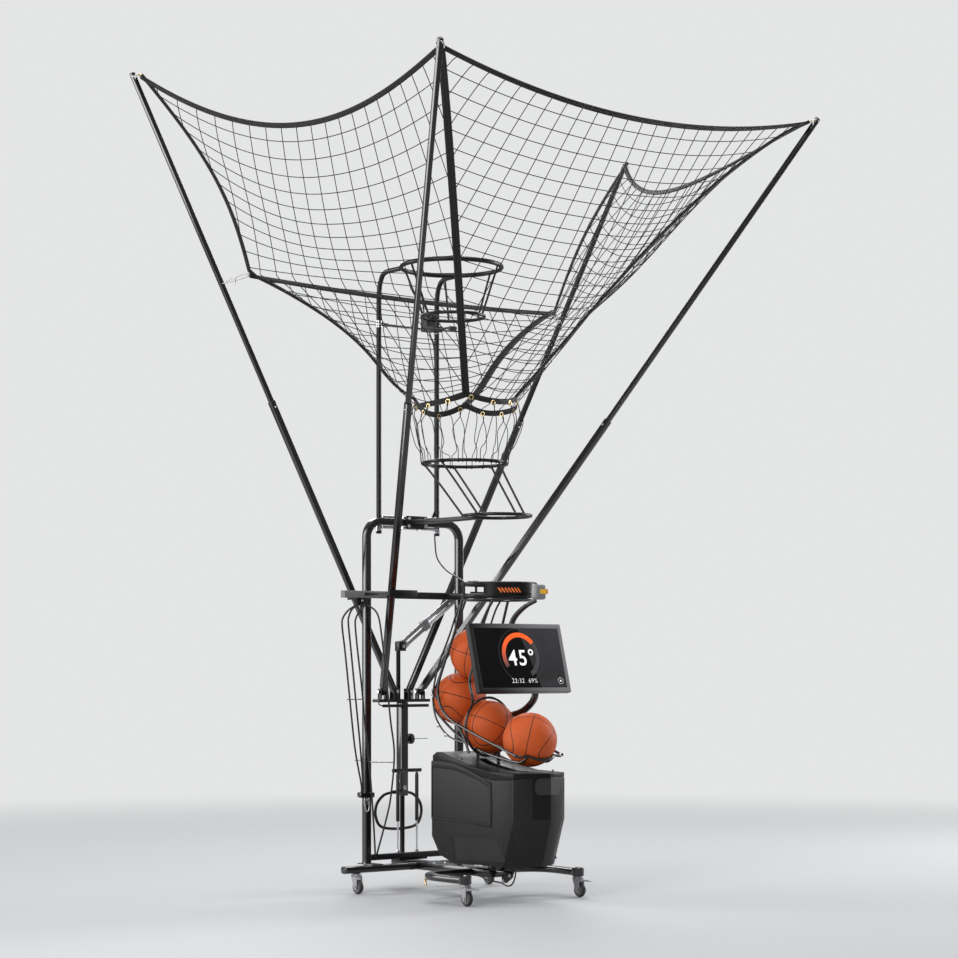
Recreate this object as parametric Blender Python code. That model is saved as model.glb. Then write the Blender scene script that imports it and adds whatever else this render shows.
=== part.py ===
"""Basketball shooting machine: wheeled base, folding net, ball funnel, chute and launcher.

Metres, Z up, front towards -Y, left and right about X = 0. Every joint axis is stated in record.json
at the same coordinates as here. A gap named CLEAR separates neighbouring pieces.
"""

import math

import bmesh
import bpy
from mathutils import Matrix, Vector

CLEAR = 0.0003
SLIDE_FIT = 0.0006

# Wheeled base
WHEEL_R = 0.033
WHEEL_WIDTH = 0.022
AXLE_R = 0.005
CASTER_TRAIL = 0.014
STEM_R = 0.006
STEM_TOP_Z = 0.116
FORK_TOP_Z = 0.0945
FORK_DISC_R = 0.025
FORK_DISC_H = 0.014
CHEEK_T = 0.004
FRONT_CASTER_X = 0.325
FRONT_CASTER_Y = -0.068
REAR_CASTER_X = 0.385
REAR_TUBE_Y = 0.665
REAR_TUBE_HALF = 0.455
BASE_TUBE_Z = 0.1115
BASE_TUBE_H = 0.033
CAP_R = 0.028
SPINE_TOP_Z = 0.1295
SPINE_REAR_Y = 0.858
SPINE_FRONT_Y = 0.075
SPINE_HALF_W = 0.055
BRACKET_TOP_Z = 0.150

# Upright frame, mast and hub
UPRIGHT_Y = 0.741
UPRIGHT_HALF = 0.272
UPRIGHT_SIDE = 0.034
UPRIGHT_TOP_Z = 1.722
UPRIGHT_FOOT_Z = 0.1315
UPRIGHT_BEND_R = 0.075
MAST_Y = 0.830
MAST_SIDE = 0.042
MAST_BORE = 0.0365
MAST_LOW_Z = 0.430
MAST_TOP_Z = 0.875
POST_SIDE = 0.0355
POST_H = 0.280
TIE_Z = 0.155
TIE_SIDE = 0.027
HUB_Z = 0.925
HUB_HALF = 0.150
FRONT_PIVOT_X = 0.110
REAR_PIVOT_X = 0.042
PIVOT_Y = 0.836
PIN_R = 0.0045
SPRING_X = 0.056
SPRING_Y = 0.790
SPRING_R = 0.0085
SPRING_ROD_R = 0.0045
SPRING_TOP_Z = 0.5435
SPRING_LOW_Z = 0.312
SPRING_FOOT_Z = 0.1534
CROSSBAR_Z = 1.378
CROSSBAR_SIDE = 0.032
CROSSBAR_HALF = 0.430
GUIDE_T = 0.006
GUIDE_LOW_Z = 1.364
GUIDE_TOP_Z = 1.395
FRONT_GUIDE_IN_X = 0.157
FRONT_GUIDE_OUT_X = 0.317
POLE_PLAY = 0.003
BRACE_Y = 0.800
BRACE_LOW_X = -0.030
BRACE_LOW_Z = 1.140
BRACE_HIGH_Z = 1.364
STAY_Y = 0.862

# Side wires
WIRE_R = 0.0032
WIRE_CLAMP_Z = 0.448
WIRE_CLAMP_H = 0.0235
HOOK_Z = 1.332

# Net poles and net
FRONT_TIP = (1.063, -0.853, 3.493)
REAR_TIP = (1.452, 0.853, 3.637)
POLE_SIDE = 0.026
POLE_BORE = 0.0215
POLE_UPPER_SIDE = 0.020
POLE_STEP = 0.49
POLE_WALL = 0.002
POLE_OVERLAP = 0.10
REAR_STRAP = (1.018, 0.796, 2.79)
STRAP_REACH = (-0.1205, -0.020, 0.016)
FRONT_SEAM_BOW = 0.19
REAR_SEAM_BOW = 0.10
REAR_EDGE_BOW = 0.08
COLLAR_Y = 0.342
COLLAR_Z = 2.262
COLLAR_R = 0.236
COLLAR_H = 0.050
CLOTH_T = 0.003
LACE_R = 0.0016

# Make ring and its sensor
SENSOR_Y = 0.784
SENSOR_HALF = 0.171
SENSOR_TUBE_R = 0.012
SENSOR_LOW_Z = 1.672
MAKE_Y = 0.450
MAKE_Z = 2.891
MAKE_R = 0.232
MAKE_LOW_Y = 0.437
MAKE_LOW_Z = 2.661
MAKE_LOW_R = 0.1445

# Ball funnel
FUNNEL_Y = 0.348
FUNNEL_Z = 1.977
FUNNEL_R = 0.190
LOOP_Y = 0.114
LOOP_Z = UPRIGHT_TOP_Z + 0.002
LOOP_R = 0.153
FUNNEL_ROD_ANGLES = (12, 68, 140, 197, 285)

# Launcher, turning about PAN_Y
PAN_Y = 0.110
BODY_HALF = 0.147
BODY_REAR_Y = 0.420
BODY_SPLIT_Y = -0.165
BODY_WALL = 0.006
BASKET_Y = 0.100
BASKET_R = 0.165
BASKET_LOW_Z = 1.360
BASKET_HIGH_Z = 1.415
BALL_R = 0.1205
BALL_CENTRES = ((0.262, 1.1048), (0.383, 0.896), (0.172, 0.770), (-0.119, 0.720))
BALL_CONTACTS = (30, -29, -80, -110)
RAIL_X = 0.075
RAIL_R = 0.006
RAIL_FLAT = 0.0001
SIDE_RAIL_X = 0.128
SCREEN_CENTRE = (-0.056, 1.0835)
SCREEN_TILT = 15.0
SCREEN_W = 0.530
SCREEN_H = 0.318
SCREEN_BEZEL = 0.022
BUTTON_R = 0.018
BUTTON_IN = 0.0325
SCREEN_T = 0.030
SCREEN_PIVOT = (0.084, 1.070)
SCREEN_PIN_R = 0.007

# Everything is drawn from the hub's side of the frame and then moved so that the whole is centred on the origin
CENTRE_Y = 0.00331

MATERIALS = {
    "gloss_black": ((0.012, 0.012, 0.013), 0.15, 0.18),
    "satin_black": ((0.016, 0.016, 0.017), 0.10, 0.42),
    "bright_steel": ((0.62, 0.62, 0.63), 1.00, 0.28),
    "black_plastic": ((0.020, 0.020, 0.021), 0.00, 0.50),
    "grey_plastic": ((0.20, 0.20, 0.21), 0.00, 0.45),
    "net_cloth": ((0.018, 0.018, 0.019), 0.00, 0.90),
    "wheel_rubber": ((0.030, 0.030, 0.032), 0.00, 0.75),
    "ball_rubber": ((0.72, 0.22, 0.05), 0.00, 0.60),
    "screen_glass": ((0.010, 0.012, 0.016), 0.00, 0.05),
}


def clear_scene():
    for obj in list(bpy.data.objects):
        bpy.data.objects.remove(obj, do_unlink=True)
    for mesh in list(bpy.data.meshes):
        bpy.data.meshes.remove(mesh)


clear_scene()
machine = bpy.data.collections.new("shooting_machine")
bpy.context.scene.collection.children.link(machine)


def mesh_from(points, faces):
    """A bmesh of these points and faces, welded and facing out."""
    shape = bmesh.new()
    verts = [shape.verts.new(p) for p in points]
    for face in faces:
        shape.faces.new([verts[i] for i in face])
    bmesh.ops.remove_doubles(shape, verts=shape.verts, dist=1e-6)
    bmesh.ops.recalc_face_normals(shape, faces=shape.faces)
    return shape


def box(centre, size, turn=None, bevel=0.0):
    """A block, turned by a matrix about its centre, with its edges cut back by bevel."""
    shape = bmesh.new()
    bmesh.ops.create_cube(shape, size=1.0)
    bmesh.ops.scale(shape, vec=size, verts=shape.verts)
    if bevel:
        bmesh.ops.bevel(shape, geom=shape.edges[:], offset=bevel, segments=1, affect="EDGES")
    place = Matrix.Translation(centre) @ (turn.to_4x4() if turn else Matrix.Identity(4))
    bmesh.ops.transform(shape, matrix=place, verts=shape.verts)
    return shape


def rod(start, end, radius, sides=12, end_radius=None):
    """A round bar between two points."""
    start, end = Vector(start), Vector(end)
    shape = bmesh.new()
    bmesh.ops.create_cone(
        shape,
        cap_ends=True,
        segments=sides,
        radius1=radius,
        radius2=radius if end_radius is None else end_radius,
        depth=(end - start).length,
    )
    turn = Vector((0, 0, 1)).rotation_difference(end - start).to_matrix().to_4x4()
    place = Matrix.Translation((start + end) / 2) @ turn
    bmesh.ops.transform(shape, matrix=place, verts=shape.verts)
    return shape


def smooth_path(points, steps, closed=False):
    """Points of a soft curve that passes through each given point."""
    points = [Vector(p) for p in points]
    count = len(points)
    found = []
    for i in range(count if closed else count - 1):
        if closed:
            a, b, c, d = (points[(i + k) % count] for k in (-1, 0, 1, 2))
        else:
            b, c = points[i], points[i + 1]
            a = points[i - 1] if i else b * 2 - c
            d = points[i + 2] if i + 2 < count else c * 2 - b
        for k in range(steps):
            t = k / steps
            found.append(
                0.5
                * (
                    2 * b
                    + (c - a) * t
                    + (2 * a - 5 * b + 4 * c - d) * t**2
                    + (3 * b - a - 3 * c + d) * t**3
                )
            )
    if not closed:
        found.append(points[-1])
    return found


def sweep(path, section, closed=False, up=(0, 0, 1)):
    """A section of (across, upwards) offsets carried along a path, with flat ends."""
    path = [Vector(p) for p in path]
    count, sides = len(path), len(section)
    points, faces = [], []
    up = Vector(up)
    for i, here in enumerate(path):
        before = path[i - 1] if i or closed else here
        after = path[(i + 1) % count] if i + 1 < count or closed else here
        into = (here - before).normalized() if here != before else Vector((0, 0, 0))
        out = (after - here).normalized() if after != here else Vector((0, 0, 0))
        along = (into + out).normalized()
        across = along.cross(up)
        if across.length < 1e-3:
            across = along.cross(Vector((0, 1, 0.001)))
        across.normalize()
        if points and across.dot(last_across) < 0 and not closed:
            across = -across
        last_across = across
        rise = across.cross(along).normalized()
        stretch = 1.0
        if into.length and out.length:
            stretch = 1.0 / max(0.55, along.dot(into))
        bend = (out - into)
        for u, v in section:
            offset = across * u + rise * v
            if bend.length > 1e-6:
                side = bend.normalized()
                offset += side * (offset.dot(side) * (stretch - 1.0))
            points.append(here + offset)
    for i in range(count if closed else count - 1):
        a, b = i * sides, ((i + 1) % count) * sides
        for k in range(sides):
            m = (k + 1) % sides
            faces.append((a + k, a + m, b + m, b + k))
    if not closed:
        faces.append(tuple(range(sides)))
        faces.append(tuple((count - 1) * sides + k for k in range(sides)))
    return mesh_from(points, faces)


def circle(radius, sides=8, turn=0.5):
    return [
        (radius * math.cos(2 * math.pi * (k + turn) / sides), radius * math.sin(2 * math.pi * (k + turn) / sides))
        for k in range(sides)
    ]


def rectangle(width, height, corner=0.0):
    w, h, c = width / 2, height / 2, corner
    if not c:
        return [(w, h), (-w, h), (-w, -h), (w, -h)]
    return [(w, h - c), (w - c, h), (c - w, h), (-w, h - c), (-w, c - h), (c - w, -h), (w - c, -h), (w, c - h)]


def tube(path, radius, sides=8, closed=False, up=(0, 0, 1)):
    return sweep(path, circle(radius, sides), closed, up)


def ring(centre, radius, thickness, segments=22, sides=6):
    """A level round hoop."""
    path = [
        (
            centre[0] + radius * math.cos(2 * math.pi * k / segments),
            centre[1] + radius * math.sin(2 * math.pi * k / segments),
            centre[2],
        )
        for k in range(segments)
    ]
    return tube(path, thickness, sides, closed=True)


def prism(outline, low, high, axis="z"):
    """A flat outline pushed from low to high: (x, y) along z, or (y, z) along x."""
    if axis == "z":
        lower, upper = ([(a, b, h) for a, b in outline] for h in (low, high))
    else:
        lower, upper = ([(h, a, b) for a, b in outline] for h in (low, high))
    count = len(outline)
    faces = [tuple(range(count)), tuple(range(count, 2 * count))]
    faces += [(k, (k + 1) % count, count + (k + 1) % count, count + k) for k in range(count)]
    return mesh_from(lower + upper, faces)


def sheet(grid, thickness):
    """A thin closed sheet through a grid of points."""
    rows, columns = len(grid), len(grid[0])
    grid = [[Vector(p) for p in row] for row in grid]
    points = []
    for side in (0.5, -0.5):
        for i in range(rows):
            for j in range(columns):
                down = grid[min(i + 1, rows - 1)][j] - grid[max(i - 1, 0)][j]
                across = grid[i][min(j + 1, columns - 1)] - grid[i][max(j - 1, 0)]
                points.append(grid[i][j] + down.cross(across).normalized() * thickness * side)
    back = rows * columns
    faces = []
    for i in range(rows - 1):
        for j in range(columns - 1):
            a, b = i * columns + j, i * columns + j + 1
            c, d = a + columns, b + columns
            faces += [(a, b, d, c), (back + a, back + c, back + d, back + b)]
    edge = [(0, j) for j in range(columns)] + [(i, columns - 1) for i in range(1, rows)]
    edge += [(rows - 1, j) for j in range(columns - 2, -1, -1)] + [(i, 0) for i in range(rows - 2, 0, -1)]
    for k, (i, j) in enumerate(edge):
        m, n = edge[(k + 1) % len(edge)]
        a, b = i * columns + j, m * columns + n
        faces.append((a, back + a, back + b, b))
    return mesh_from(points, faces)


def as_object(shape, name):
    mesh = bpy.data.meshes.new(name)
    shape.to_mesh(mesh)
    shape.free()
    obj = bpy.data.objects.new(name, mesh)
    bpy.context.scene.collection.objects.link(obj)
    return obj


def combine(base, others, operation):
    """Joins or cuts shapes one after another with exact Booleans."""
    body = as_object(base, "work")
    for other in others:
        tool = as_object(other, "tool")
        change = body.modifiers.new("change", "BOOLEAN")
        change.operation, change.solver, change.object = operation, "EXACT", tool
        bpy.context.view_layer.update()
        evaluated = body.evaluated_get(bpy.context.evaluated_depsgraph_get())
        made = bpy.data.meshes.new_from_object(evaluated)
        body.modifiers.clear()
        old = body.data
        body.data = made
        bpy.data.meshes.remove(old)
        bpy.data.objects.remove(tool, do_unlink=True)
    shape = bmesh.new()
    shape.from_mesh(body.data)
    bmesh.ops.remove_doubles(shape, verts=shape.verts, dist=2e-6)
    bpy.data.objects.remove(body, do_unlink=True)
    return shape


def join(first, *others):
    return combine(first, others, "UNION")


def cut(first, *others):
    return combine(first, others, "DIFFERENCE")


def overlap(first, *others):
    return combine(first, others, "INTERSECT")


def piece(name, shape, finish, axis=(0, 0, 0), smooth=False):
    """One named sub-part with its own material, its origin on the joint axis."""
    mesh = bpy.data.meshes.new(name)
    bmesh.ops.translate(shape, vec=-Vector(axis), verts=shape.verts)
    if smooth:
        for face in shape.faces:
            face.smooth = len(face.verts) == 4
    shape.to_mesh(mesh)
    shape.free()
    obj = bpy.data.objects.new(name, mesh)
    obj.location = Vector(axis) - Vector((0, CENTRE_Y, 0))
    machine.objects.link(obj)
    colour, metallic, roughness = MATERIALS[finish]
    material = bpy.data.materials.new(name + "_finish")
    material.use_nodes = True
    shader = material.node_tree.nodes["Principled BSDF"]
    shader.inputs["Base Color"].default_value = (*colour, 1)
    shader.inputs["Metallic"].default_value = metallic
    shader.inputs["Roughness"].default_value = roughness
    material.diffuse_color = (*colour, 1)
    mesh.materials.append(material)
    return obj


# Casters
def make_caster(name, x, y):
    """A swivelling fork with its stem and axle, and the wheel that turns on the axle."""
    wheel_y = y - CASTER_TRAIL
    disc_low = FORK_TOP_Z - FORK_DISC_H
    inner = WHEEL_WIDTH / 2 + 0.002
    fork = rod((x, y, disc_low), (x, y, FORK_TOP_Z), FORK_DISC_R, 20)
    stem = rod((x, y, disc_low + 0.002), (x, y, STEM_TOP_Z), STEM_R, 12)
    parts = [stem]
    for side in (-1, 1):
        cheek = [
            (y + 0.017, disc_low + 0.003),
            (y - 0.022, disc_low + 0.003),
            (wheel_y - 0.013, WHEEL_R - 0.004),
            (wheel_y - 0.006, WHEEL_R - 0.011),
            (wheel_y + 0.006, WHEEL_R - 0.011),
            (wheel_y + 0.012, WHEEL_R - 0.004),
        ]
        ends = sorted((x + side * inner, x + side * (inner + CHEEK_T)))
        parts.append(prism(cheek, ends[0], ends[1], "x"))
    reach = inner + CHEEK_T + 0.002
    parts.append(rod((x - reach, wheel_y, WHEEL_R), (x + reach, wheel_y, WHEEL_R), AXLE_R, 12))
    piece(name + "_fork", join(fork, *parts), "satin_black", (x, y, FORK_TOP_Z))
    half = WHEEL_WIDTH / 2
    tyre_profile = [
        (-half, WHEEL_R - 0.004),
        (-half + 0.004, WHEEL_R),
        (half - 0.004, WHEEL_R),
        (half, WHEEL_R - 0.004),
    ]
    wheel_points, wheel_faces, turns = [], [], 20
    profile = [(-half, AXLE_R + SLIDE_FIT)] + tyre_profile + [(half, AXLE_R + SLIDE_FIT)]
    for k in range(turns):
        angle = 2 * math.pi * k / turns
        for across, radius in profile:
            wheel_points.append((x + across, wheel_y + radius * math.cos(angle), WHEEL_R + radius * math.sin(angle)))
    rows = len(profile)
    for k in range(turns):
        for m in range(rows):
            n = (m + 1) % rows
            a, b = k * rows, ((k + 1) % turns) * rows
            wheel_faces.append((a + m, a + n, b + n, b + m))
    piece(name + "_wheel", mesh_from(wheel_points, wheel_faces), "wheel_rubber", (x, wheel_y, WHEEL_R), True)


def make_brake_lever(name, x, y):
    """A toe lever hinged in front of the fork's cheeks."""
    pivot_y, pivot_z = y - 0.0285, FORK_TOP_Z - FORK_DISC_H - 0.004
    plate = box((x, pivot_y - 0.024, pivot_z), (0.022, 0.046, 0.005), bevel=0.0015)
    barrel = rod((x - 0.010, pivot_y, pivot_z), (x + 0.010, pivot_y, pivot_z), 0.0045, 12)
    piece(name, join(barrel, plate), "bright_steel", (x, pivot_y, pivot_z))


for place, x, y in (
    ("front_left_caster", -FRONT_CASTER_X, FRONT_CASTER_Y),
    ("front_right_caster", FRONT_CASTER_X, FRONT_CASTER_Y),
    ("rear_left_caster", -REAR_CASTER_X, REAR_TUBE_Y),
    ("rear_right_caster", REAR_CASTER_X, REAR_TUBE_Y),
):
    make_caster(place, x, y)
make_brake_lever("left_brake_lever", -FRONT_CASTER_X, FRONT_CASTER_Y)
make_brake_lever("right_brake_lever", FRONT_CASTER_X, FRONT_CASTER_Y)

# Base frame
oval = [(0.025 * c, BASE_TUBE_H / 2 * s) for c, s in (
    (1.0, 0.35), (0.86, 0.80), (0.55, 1.0), (-0.55, 1.0), (-0.86, 0.80), (-1.0, 0.35),
    (-1.0, -0.35), (-0.86, -0.80), (-0.55, -1.0), (0.55, -1.0), (0.86, -0.80), (1.0, -0.35),
)]


def stem_hole(x, y):
    return rod((x, y, 0.08), (x, y, STEM_TOP_Z + 0.001), STEM_R + SLIDE_FIT, 12)


rear_beam = sweep(
    [(-REAR_TUBE_HALF, REAR_TUBE_Y, BASE_TUBE_Z), (REAR_TUBE_HALF, REAR_TUBE_Y, BASE_TUBE_Z)], oval
)
shoes = [
    box((side * UPRIGHT_HALF, (REAR_TUBE_Y + UPRIGHT_Y) / 2 + 0.008, 0.1285), (0.060, 0.122, 0.005))
    for side in (-1, 1)
]
gussets = [
    box((side * UPRIGHT_HALF, REAR_TUBE_Y + 0.055, 0.118), (0.008, 0.080, 0.018)) for side in (-1, 1)
]
piece(
    "rear_cross_tube",
    cut(
        join(rear_beam, *shoes, *gussets),
        stem_hole(-REAR_CASTER_X, REAR_TUBE_Y),
        stem_hole(REAR_CASTER_X, REAR_TUBE_Y),
    ),
    "gloss_black",
)

half_w = SPINE_HALF_W
spine_outline = [
    (SPINE_FRONT_Y, SPINE_TOP_Z),
    (SPINE_FRONT_Y, 0.060),
    (SPINE_FRONT_Y + 0.03, 0.050),
    (0.30, 0.052),
    (0.60, 0.088),
    (0.635, 0.0945),
    (REAR_TUBE_Y - 0.0253, 0.0945),
    (REAR_TUBE_Y - 0.0253, SPINE_TOP_Z),
]
spine_front = prism(spine_outline, -half_w, half_w, "x")
spine_bridge = box(
    (0, SPINE_REAR_Y - 0.139, 0.13035),
    (0.086, 0.278, 0.0039),
)
spine_tail = box((0, SPINE_REAR_Y - 0.066, 0.1145), (0.070, 0.132, 0.031))
turntable = rod((0, PAN_Y, 0.100), (0, PAN_Y, BRACKET_TOP_Z), 0.042, 24)
lower_lug = prism(
    [(0.155, 0.128), (0.075, 0.128), (0.02, 0.100), (0.02, 0.062), (0.045, 0.042), (0.085, 0.042), (0.12, 0.062)],
    -0.030,
    0.030,
    "x",
)
leg_hole = sweep(
    [(-0.30, 0.245, BASE_TUBE_Z), (0.30, 0.245, BASE_TUBE_Z)],
    [(u * 1.03, v * 1.03) for u, v in oval],
)
piece(
    "base_spine",
    cut(join(spine_front, spine_bridge, spine_tail, turntable, lower_lug), leg_hole),
    "gloss_black",
)

leg_path = smooth_path(
    [
        (0, 0.245, BASE_TUBE_Z),
        (-0.14, 0.245, BASE_TUBE_Z),
        (-0.25, 0.240, BASE_TUBE_Z),
        (-0.312, 0.200, BASE_TUBE_Z),
        (-0.334, 0.130, BASE_TUBE_Z),
        (-0.333, 0.040, BASE_TUBE_Z),
        (-FRONT_CASTER_X, FRONT_CASTER_Y, BASE_TUBE_Z),
    ],
    1,
)
whole_leg_path = leg_path[::-1] + [Vector((-p.x, p.y, p.z)) for p in leg_path[1:]]
leg_tube = sweep(whole_leg_path, oval)
caps = [
    rod((side * FRONT_CASTER_X, FRONT_CASTER_Y, FORK_TOP_Z + 0.0005), (side * FRONT_CASTER_X, FRONT_CASTER_Y, 0.132), CAP_R, 24)
    for side in (-1, 1)
]
piece(
    "front_leg_tube",
    cut(
        join(leg_tube, *caps),
        stem_hole(-FRONT_CASTER_X, FRONT_CASTER_Y),
        stem_hole(FRONT_CASTER_X, FRONT_CASTER_Y),
    ),
    "gloss_black",
)

# Tie bar between the legs, with the foot plate and the fixed inner post of the mast
FOOT_PLATE_LOW_Z = SPINE_TOP_Z + 0.0032
FOOT_PLATE_TOP_Z = SPRING_FOOT_Z - CLEAR
tie_half = UPRIGHT_HALF - UPRIGHT_SIDE / 2 - CLEAR
tie = box((0, UPRIGHT_Y, TIE_Z), (2 * tie_half, TIE_SIDE, TIE_SIDE), bevel=0.003)
foot_plate = box(
    (0, (UPRIGHT_Y + MAST_Y + 0.020) / 2, (FOOT_PLATE_LOW_Z + FOOT_PLATE_TOP_Z) / 2),
    (2 * SPRING_X + 0.050, MAST_Y + 0.020 - UPRIGHT_Y, FOOT_PLATE_TOP_Z - FOOT_PLATE_LOW_Z),
)
post_low_z = MAST_LOW_Z + 0.015
post_foot = rod((0, MAST_Y, FOOT_PLATE_TOP_Z - 0.004), (0, MAST_Y, post_low_z + 0.005), 0.0115, 12)
post = box((0, MAST_Y, post_low_z + POST_H / 2), (POST_SIDE, POST_SIDE, POST_H), bevel=0.002)
piece("tie_bar_and_post", join(tie, foot_plate, post_foot, post), "satin_black")

# Upright frame
corner = UPRIGHT_BEND_R
upright_path = [(-UPRIGHT_HALF, UPRIGHT_Y, UPRIGHT_FOOT_Z)]
for side in (-1, 1):
    for k in range(5):
        angle = math.pi / 2 * k / 4
        if side < 0:
            across, rise = -math.cos(angle), math.sin(angle)
        else:
            across, rise = math.sin(angle), math.cos(angle)
        upright_path.append(
            (
                side * (UPRIGHT_HALF - corner) + corner * across,
                UPRIGHT_Y,
                UPRIGHT_TOP_Z - corner + corner * rise,
            )
        )
upright_path.append((UPRIGHT_HALF, UPRIGHT_Y, UPRIGHT_FOOT_Z))
leg_collar = box(
    (-UPRIGHT_HALF - 0.008, UPRIGHT_Y - 0.0055, WIRE_CLAMP_Z),
    (UPRIGHT_SIDE + 0.026, UPRIGHT_SIDE + 0.024, WIRE_CLAMP_H),
    bevel=0.002,
)
collar_lug = box((-UPRIGHT_HALF - 0.042, UPRIGHT_Y - 0.0245, WIRE_CLAMP_Z), (0.028, 0.020, WIRE_CLAMP_H))
piece(
    "upright_frame",
    join(sweep(upright_path, rectangle(UPRIGHT_SIDE, UPRIGHT_SIDE, 0.004), up=(0, 1, 0)), leg_collar, collar_lug),
    "gloss_black",
)

# Sliding mast
mast_wall = box((0, MAST_Y, (MAST_LOW_Z + MAST_TOP_Z) / 2), (MAST_SIDE, MAST_SIDE, MAST_TOP_Z - MAST_LOW_Z), bevel=0.003)
mast_bore = box((0, MAST_Y, 0.600), (MAST_BORE, MAST_BORE, 0.420))
spring_bracket = [
    box((side * 0.052, SPRING_Y + 0.004, 0.552), (0.062, 0.018, 0.016), bevel=0.002) for side in (-1, 1)
]
spring_link = box((0, MAST_Y - 0.0245, 0.552), (0.13, 0.018, 0.016), bevel=0.002)
lock_boss = rod((MAST_SIDE / 2 - 0.001, MAST_Y, 0.700), (MAST_SIDE / 2 + 0.020, MAST_Y, 0.700), 0.013, 16)
lock_hole = rod((MAST_BORE / 2 - 0.004, MAST_Y, 0.700), (0.08, MAST_Y, 0.700), 0.0056, 12)
piece(
    "mast_tube",
    cut(join(mast_wall, spring_link, *spring_bracket, lock_boss), mast_bore, lock_hole),
    "satin_black",
)
knob_start = MAST_BORE / 2 - 0.0002
knob = join(
    rod((knob_start, MAST_Y, 0.700), (0.075, MAST_Y, 0.700), 0.005, 12),
    rod((MAST_SIDE / 2 + 0.0203, MAST_Y, 0.700), (0.058, MAST_Y, 0.700), 0.020, 20),
    rod((0.074, MAST_Y, 0.700), (0.150, MAST_Y, 0.700), 0.003, 8),
)
piece("lock_knob", knob, "black_plastic", (0.05, MAST_Y, 0.700))

# Hub with pivot lugs
hub_plate = box((0, PIVOT_Y, 0.8825), (2 * HUB_HALF, 0.060, 0.014), bevel=0.002)
lug_low, lug_high = 0.882, HUB_Z + 0.014
lug_mid, lug_tall = (lug_low + lug_high) / 2, lug_high - lug_low
lug_gap = POLE_SIDE / 2 + 0.002
hub_parts = []
for side in (-1, 1):
    for offset in (-lug_gap - 0.002, lug_gap + 0.002):
        hub_parts.append(box((side * FRONT_PIVOT_X + offset, PIVOT_Y, lug_mid), (0.004, 0.030, lug_tall)))
        hub_parts.append(box((side * REAR_PIVOT_X, PIVOT_Y + offset, lug_mid), (0.030, 0.004, lug_tall)))
    hub_parts.append(
        rod(
            (side * FRONT_PIVOT_X - lug_gap - 0.007, PIVOT_Y, HUB_Z),
            (side * FRONT_PIVOT_X + lug_gap + 0.007, PIVOT_Y, HUB_Z),
            PIN_R,
            12,
        )
    )
    hub_parts.append(
        rod(
            (side * REAR_PIVOT_X, PIVOT_Y - lug_gap - 0.007, HUB_Z),
            (side * REAR_PIVOT_X, PIVOT_Y + lug_gap + 0.007, HUB_Z),
            PIN_R,
            12,
        )
    )
stay_low_z, stay_top_z = 0.8795, BRACE_LOW_Z + 0.025
stay = box((0, STAY_Y, (stay_low_z + stay_top_z) / 2), (0.020, 0.008, stay_top_z - stay_low_z))
ear_size = (0.036, 0.004, 0.044)
ears = [box((BRACE_LOW_X, BRACE_Y + offset, BRACE_LOW_Z), ear_size) for offset in (-0.0145, 0.0145)]
ear_side = box((BRACE_LOW_X - 0.020, BRACE_Y, BRACE_LOW_Z), (0.004, 0.033, 0.044))
ear_arm = box((-0.005, (BRACE_Y + 0.0135 + STAY_Y) / 2, BRACE_LOW_Z), (0.030, STAY_Y - BRACE_Y - 0.0135, 0.044))
brace_pin = rod((BRACE_LOW_X, BRACE_Y - 0.019, BRACE_LOW_Z), (BRACE_LOW_X, BRACE_Y + 0.019, BRACE_LOW_Z), PIN_R, 12)
hub_parts += [stay, *ears, ear_side, ear_arm, brace_pin]
piece("hub_and_stay", join(hub_plate, *hub_parts), "satin_black", (0, PIVOT_Y, HUB_Z))

# Crossbar before the legs, with a guide that each net pole leans against
crossbar_y = UPRIGHT_Y - UPRIGHT_SIDE / 2 - CLEAR - CROSSBAR_SIDE / 2
bar = box((0, crossbar_y, CROSSBAR_Z), (2 * CROSSBAR_HALF, CROSSBAR_SIDE, CROSSBAR_SIDE), bevel=0.002)
front_rise = FRONT_TIP[2] - HUB_Z
front_lean = (PIVOT_Y - FRONT_TIP[1]) / front_rise
front_plate_y = (
    PIVOT_Y
    - (GUIDE_TOP_Z - HUB_Z) * front_lean
    - POLE_SIDE / 2 * math.hypot(1, front_lean)
    - POLE_PLAY
    - GUIDE_T / 2
)
rear_lean = (REAR_TIP[0] - REAR_PIVOT_X) / (REAR_TIP[2] - HUB_Z)
rear_guide_top_z = CROSSBAR_Z + 0.010
rear_guide_x = (
    REAR_PIVOT_X
    + (rear_guide_top_z - HUB_Z) * rear_lean
    + POLE_SIDE / 2 * math.hypot(1, rear_lean)
    + 2 * CLEAR
    + GUIDE_T / 2
)
guide_z, guide_h = (GUIDE_LOW_Z + GUIDE_TOP_Z) / 2, GUIDE_TOP_Z - GUIDE_LOW_Z
guides = []
for side in (-1, 1):
    guide_mid = (FRONT_GUIDE_IN_X + FRONT_GUIDE_OUT_X) / 2
    guide_w = FRONT_GUIDE_OUT_X - FRONT_GUIDE_IN_X
    guides.append(box((side * guide_mid, front_plate_y, guide_z), (guide_w, GUIDE_T, guide_h)))
    arm_end_y = crossbar_y - CROSSBAR_SIDE / 2 + 0.004
    for x in (FRONT_GUIDE_IN_X + GUIDE_T / 2, FRONT_GUIDE_OUT_X - GUIDE_T / 2):
        arm_mid_y, arm_length = (front_plate_y + arm_end_y) / 2, arm_end_y - front_plate_y
        guides.append(box((side * x, arm_mid_y, guide_z), (GUIDE_T, arm_length, 0.014)))
    rear_end_y = PIVOT_Y + POLE_SIDE / 2 + 0.003
    guides.append(
        box(
            (side * rear_guide_x, (crossbar_y + rear_end_y) / 2, rear_guide_top_z - 0.016),
            (GUIDE_T, rear_end_y - crossbar_y, 0.032),
        )
    )
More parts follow.
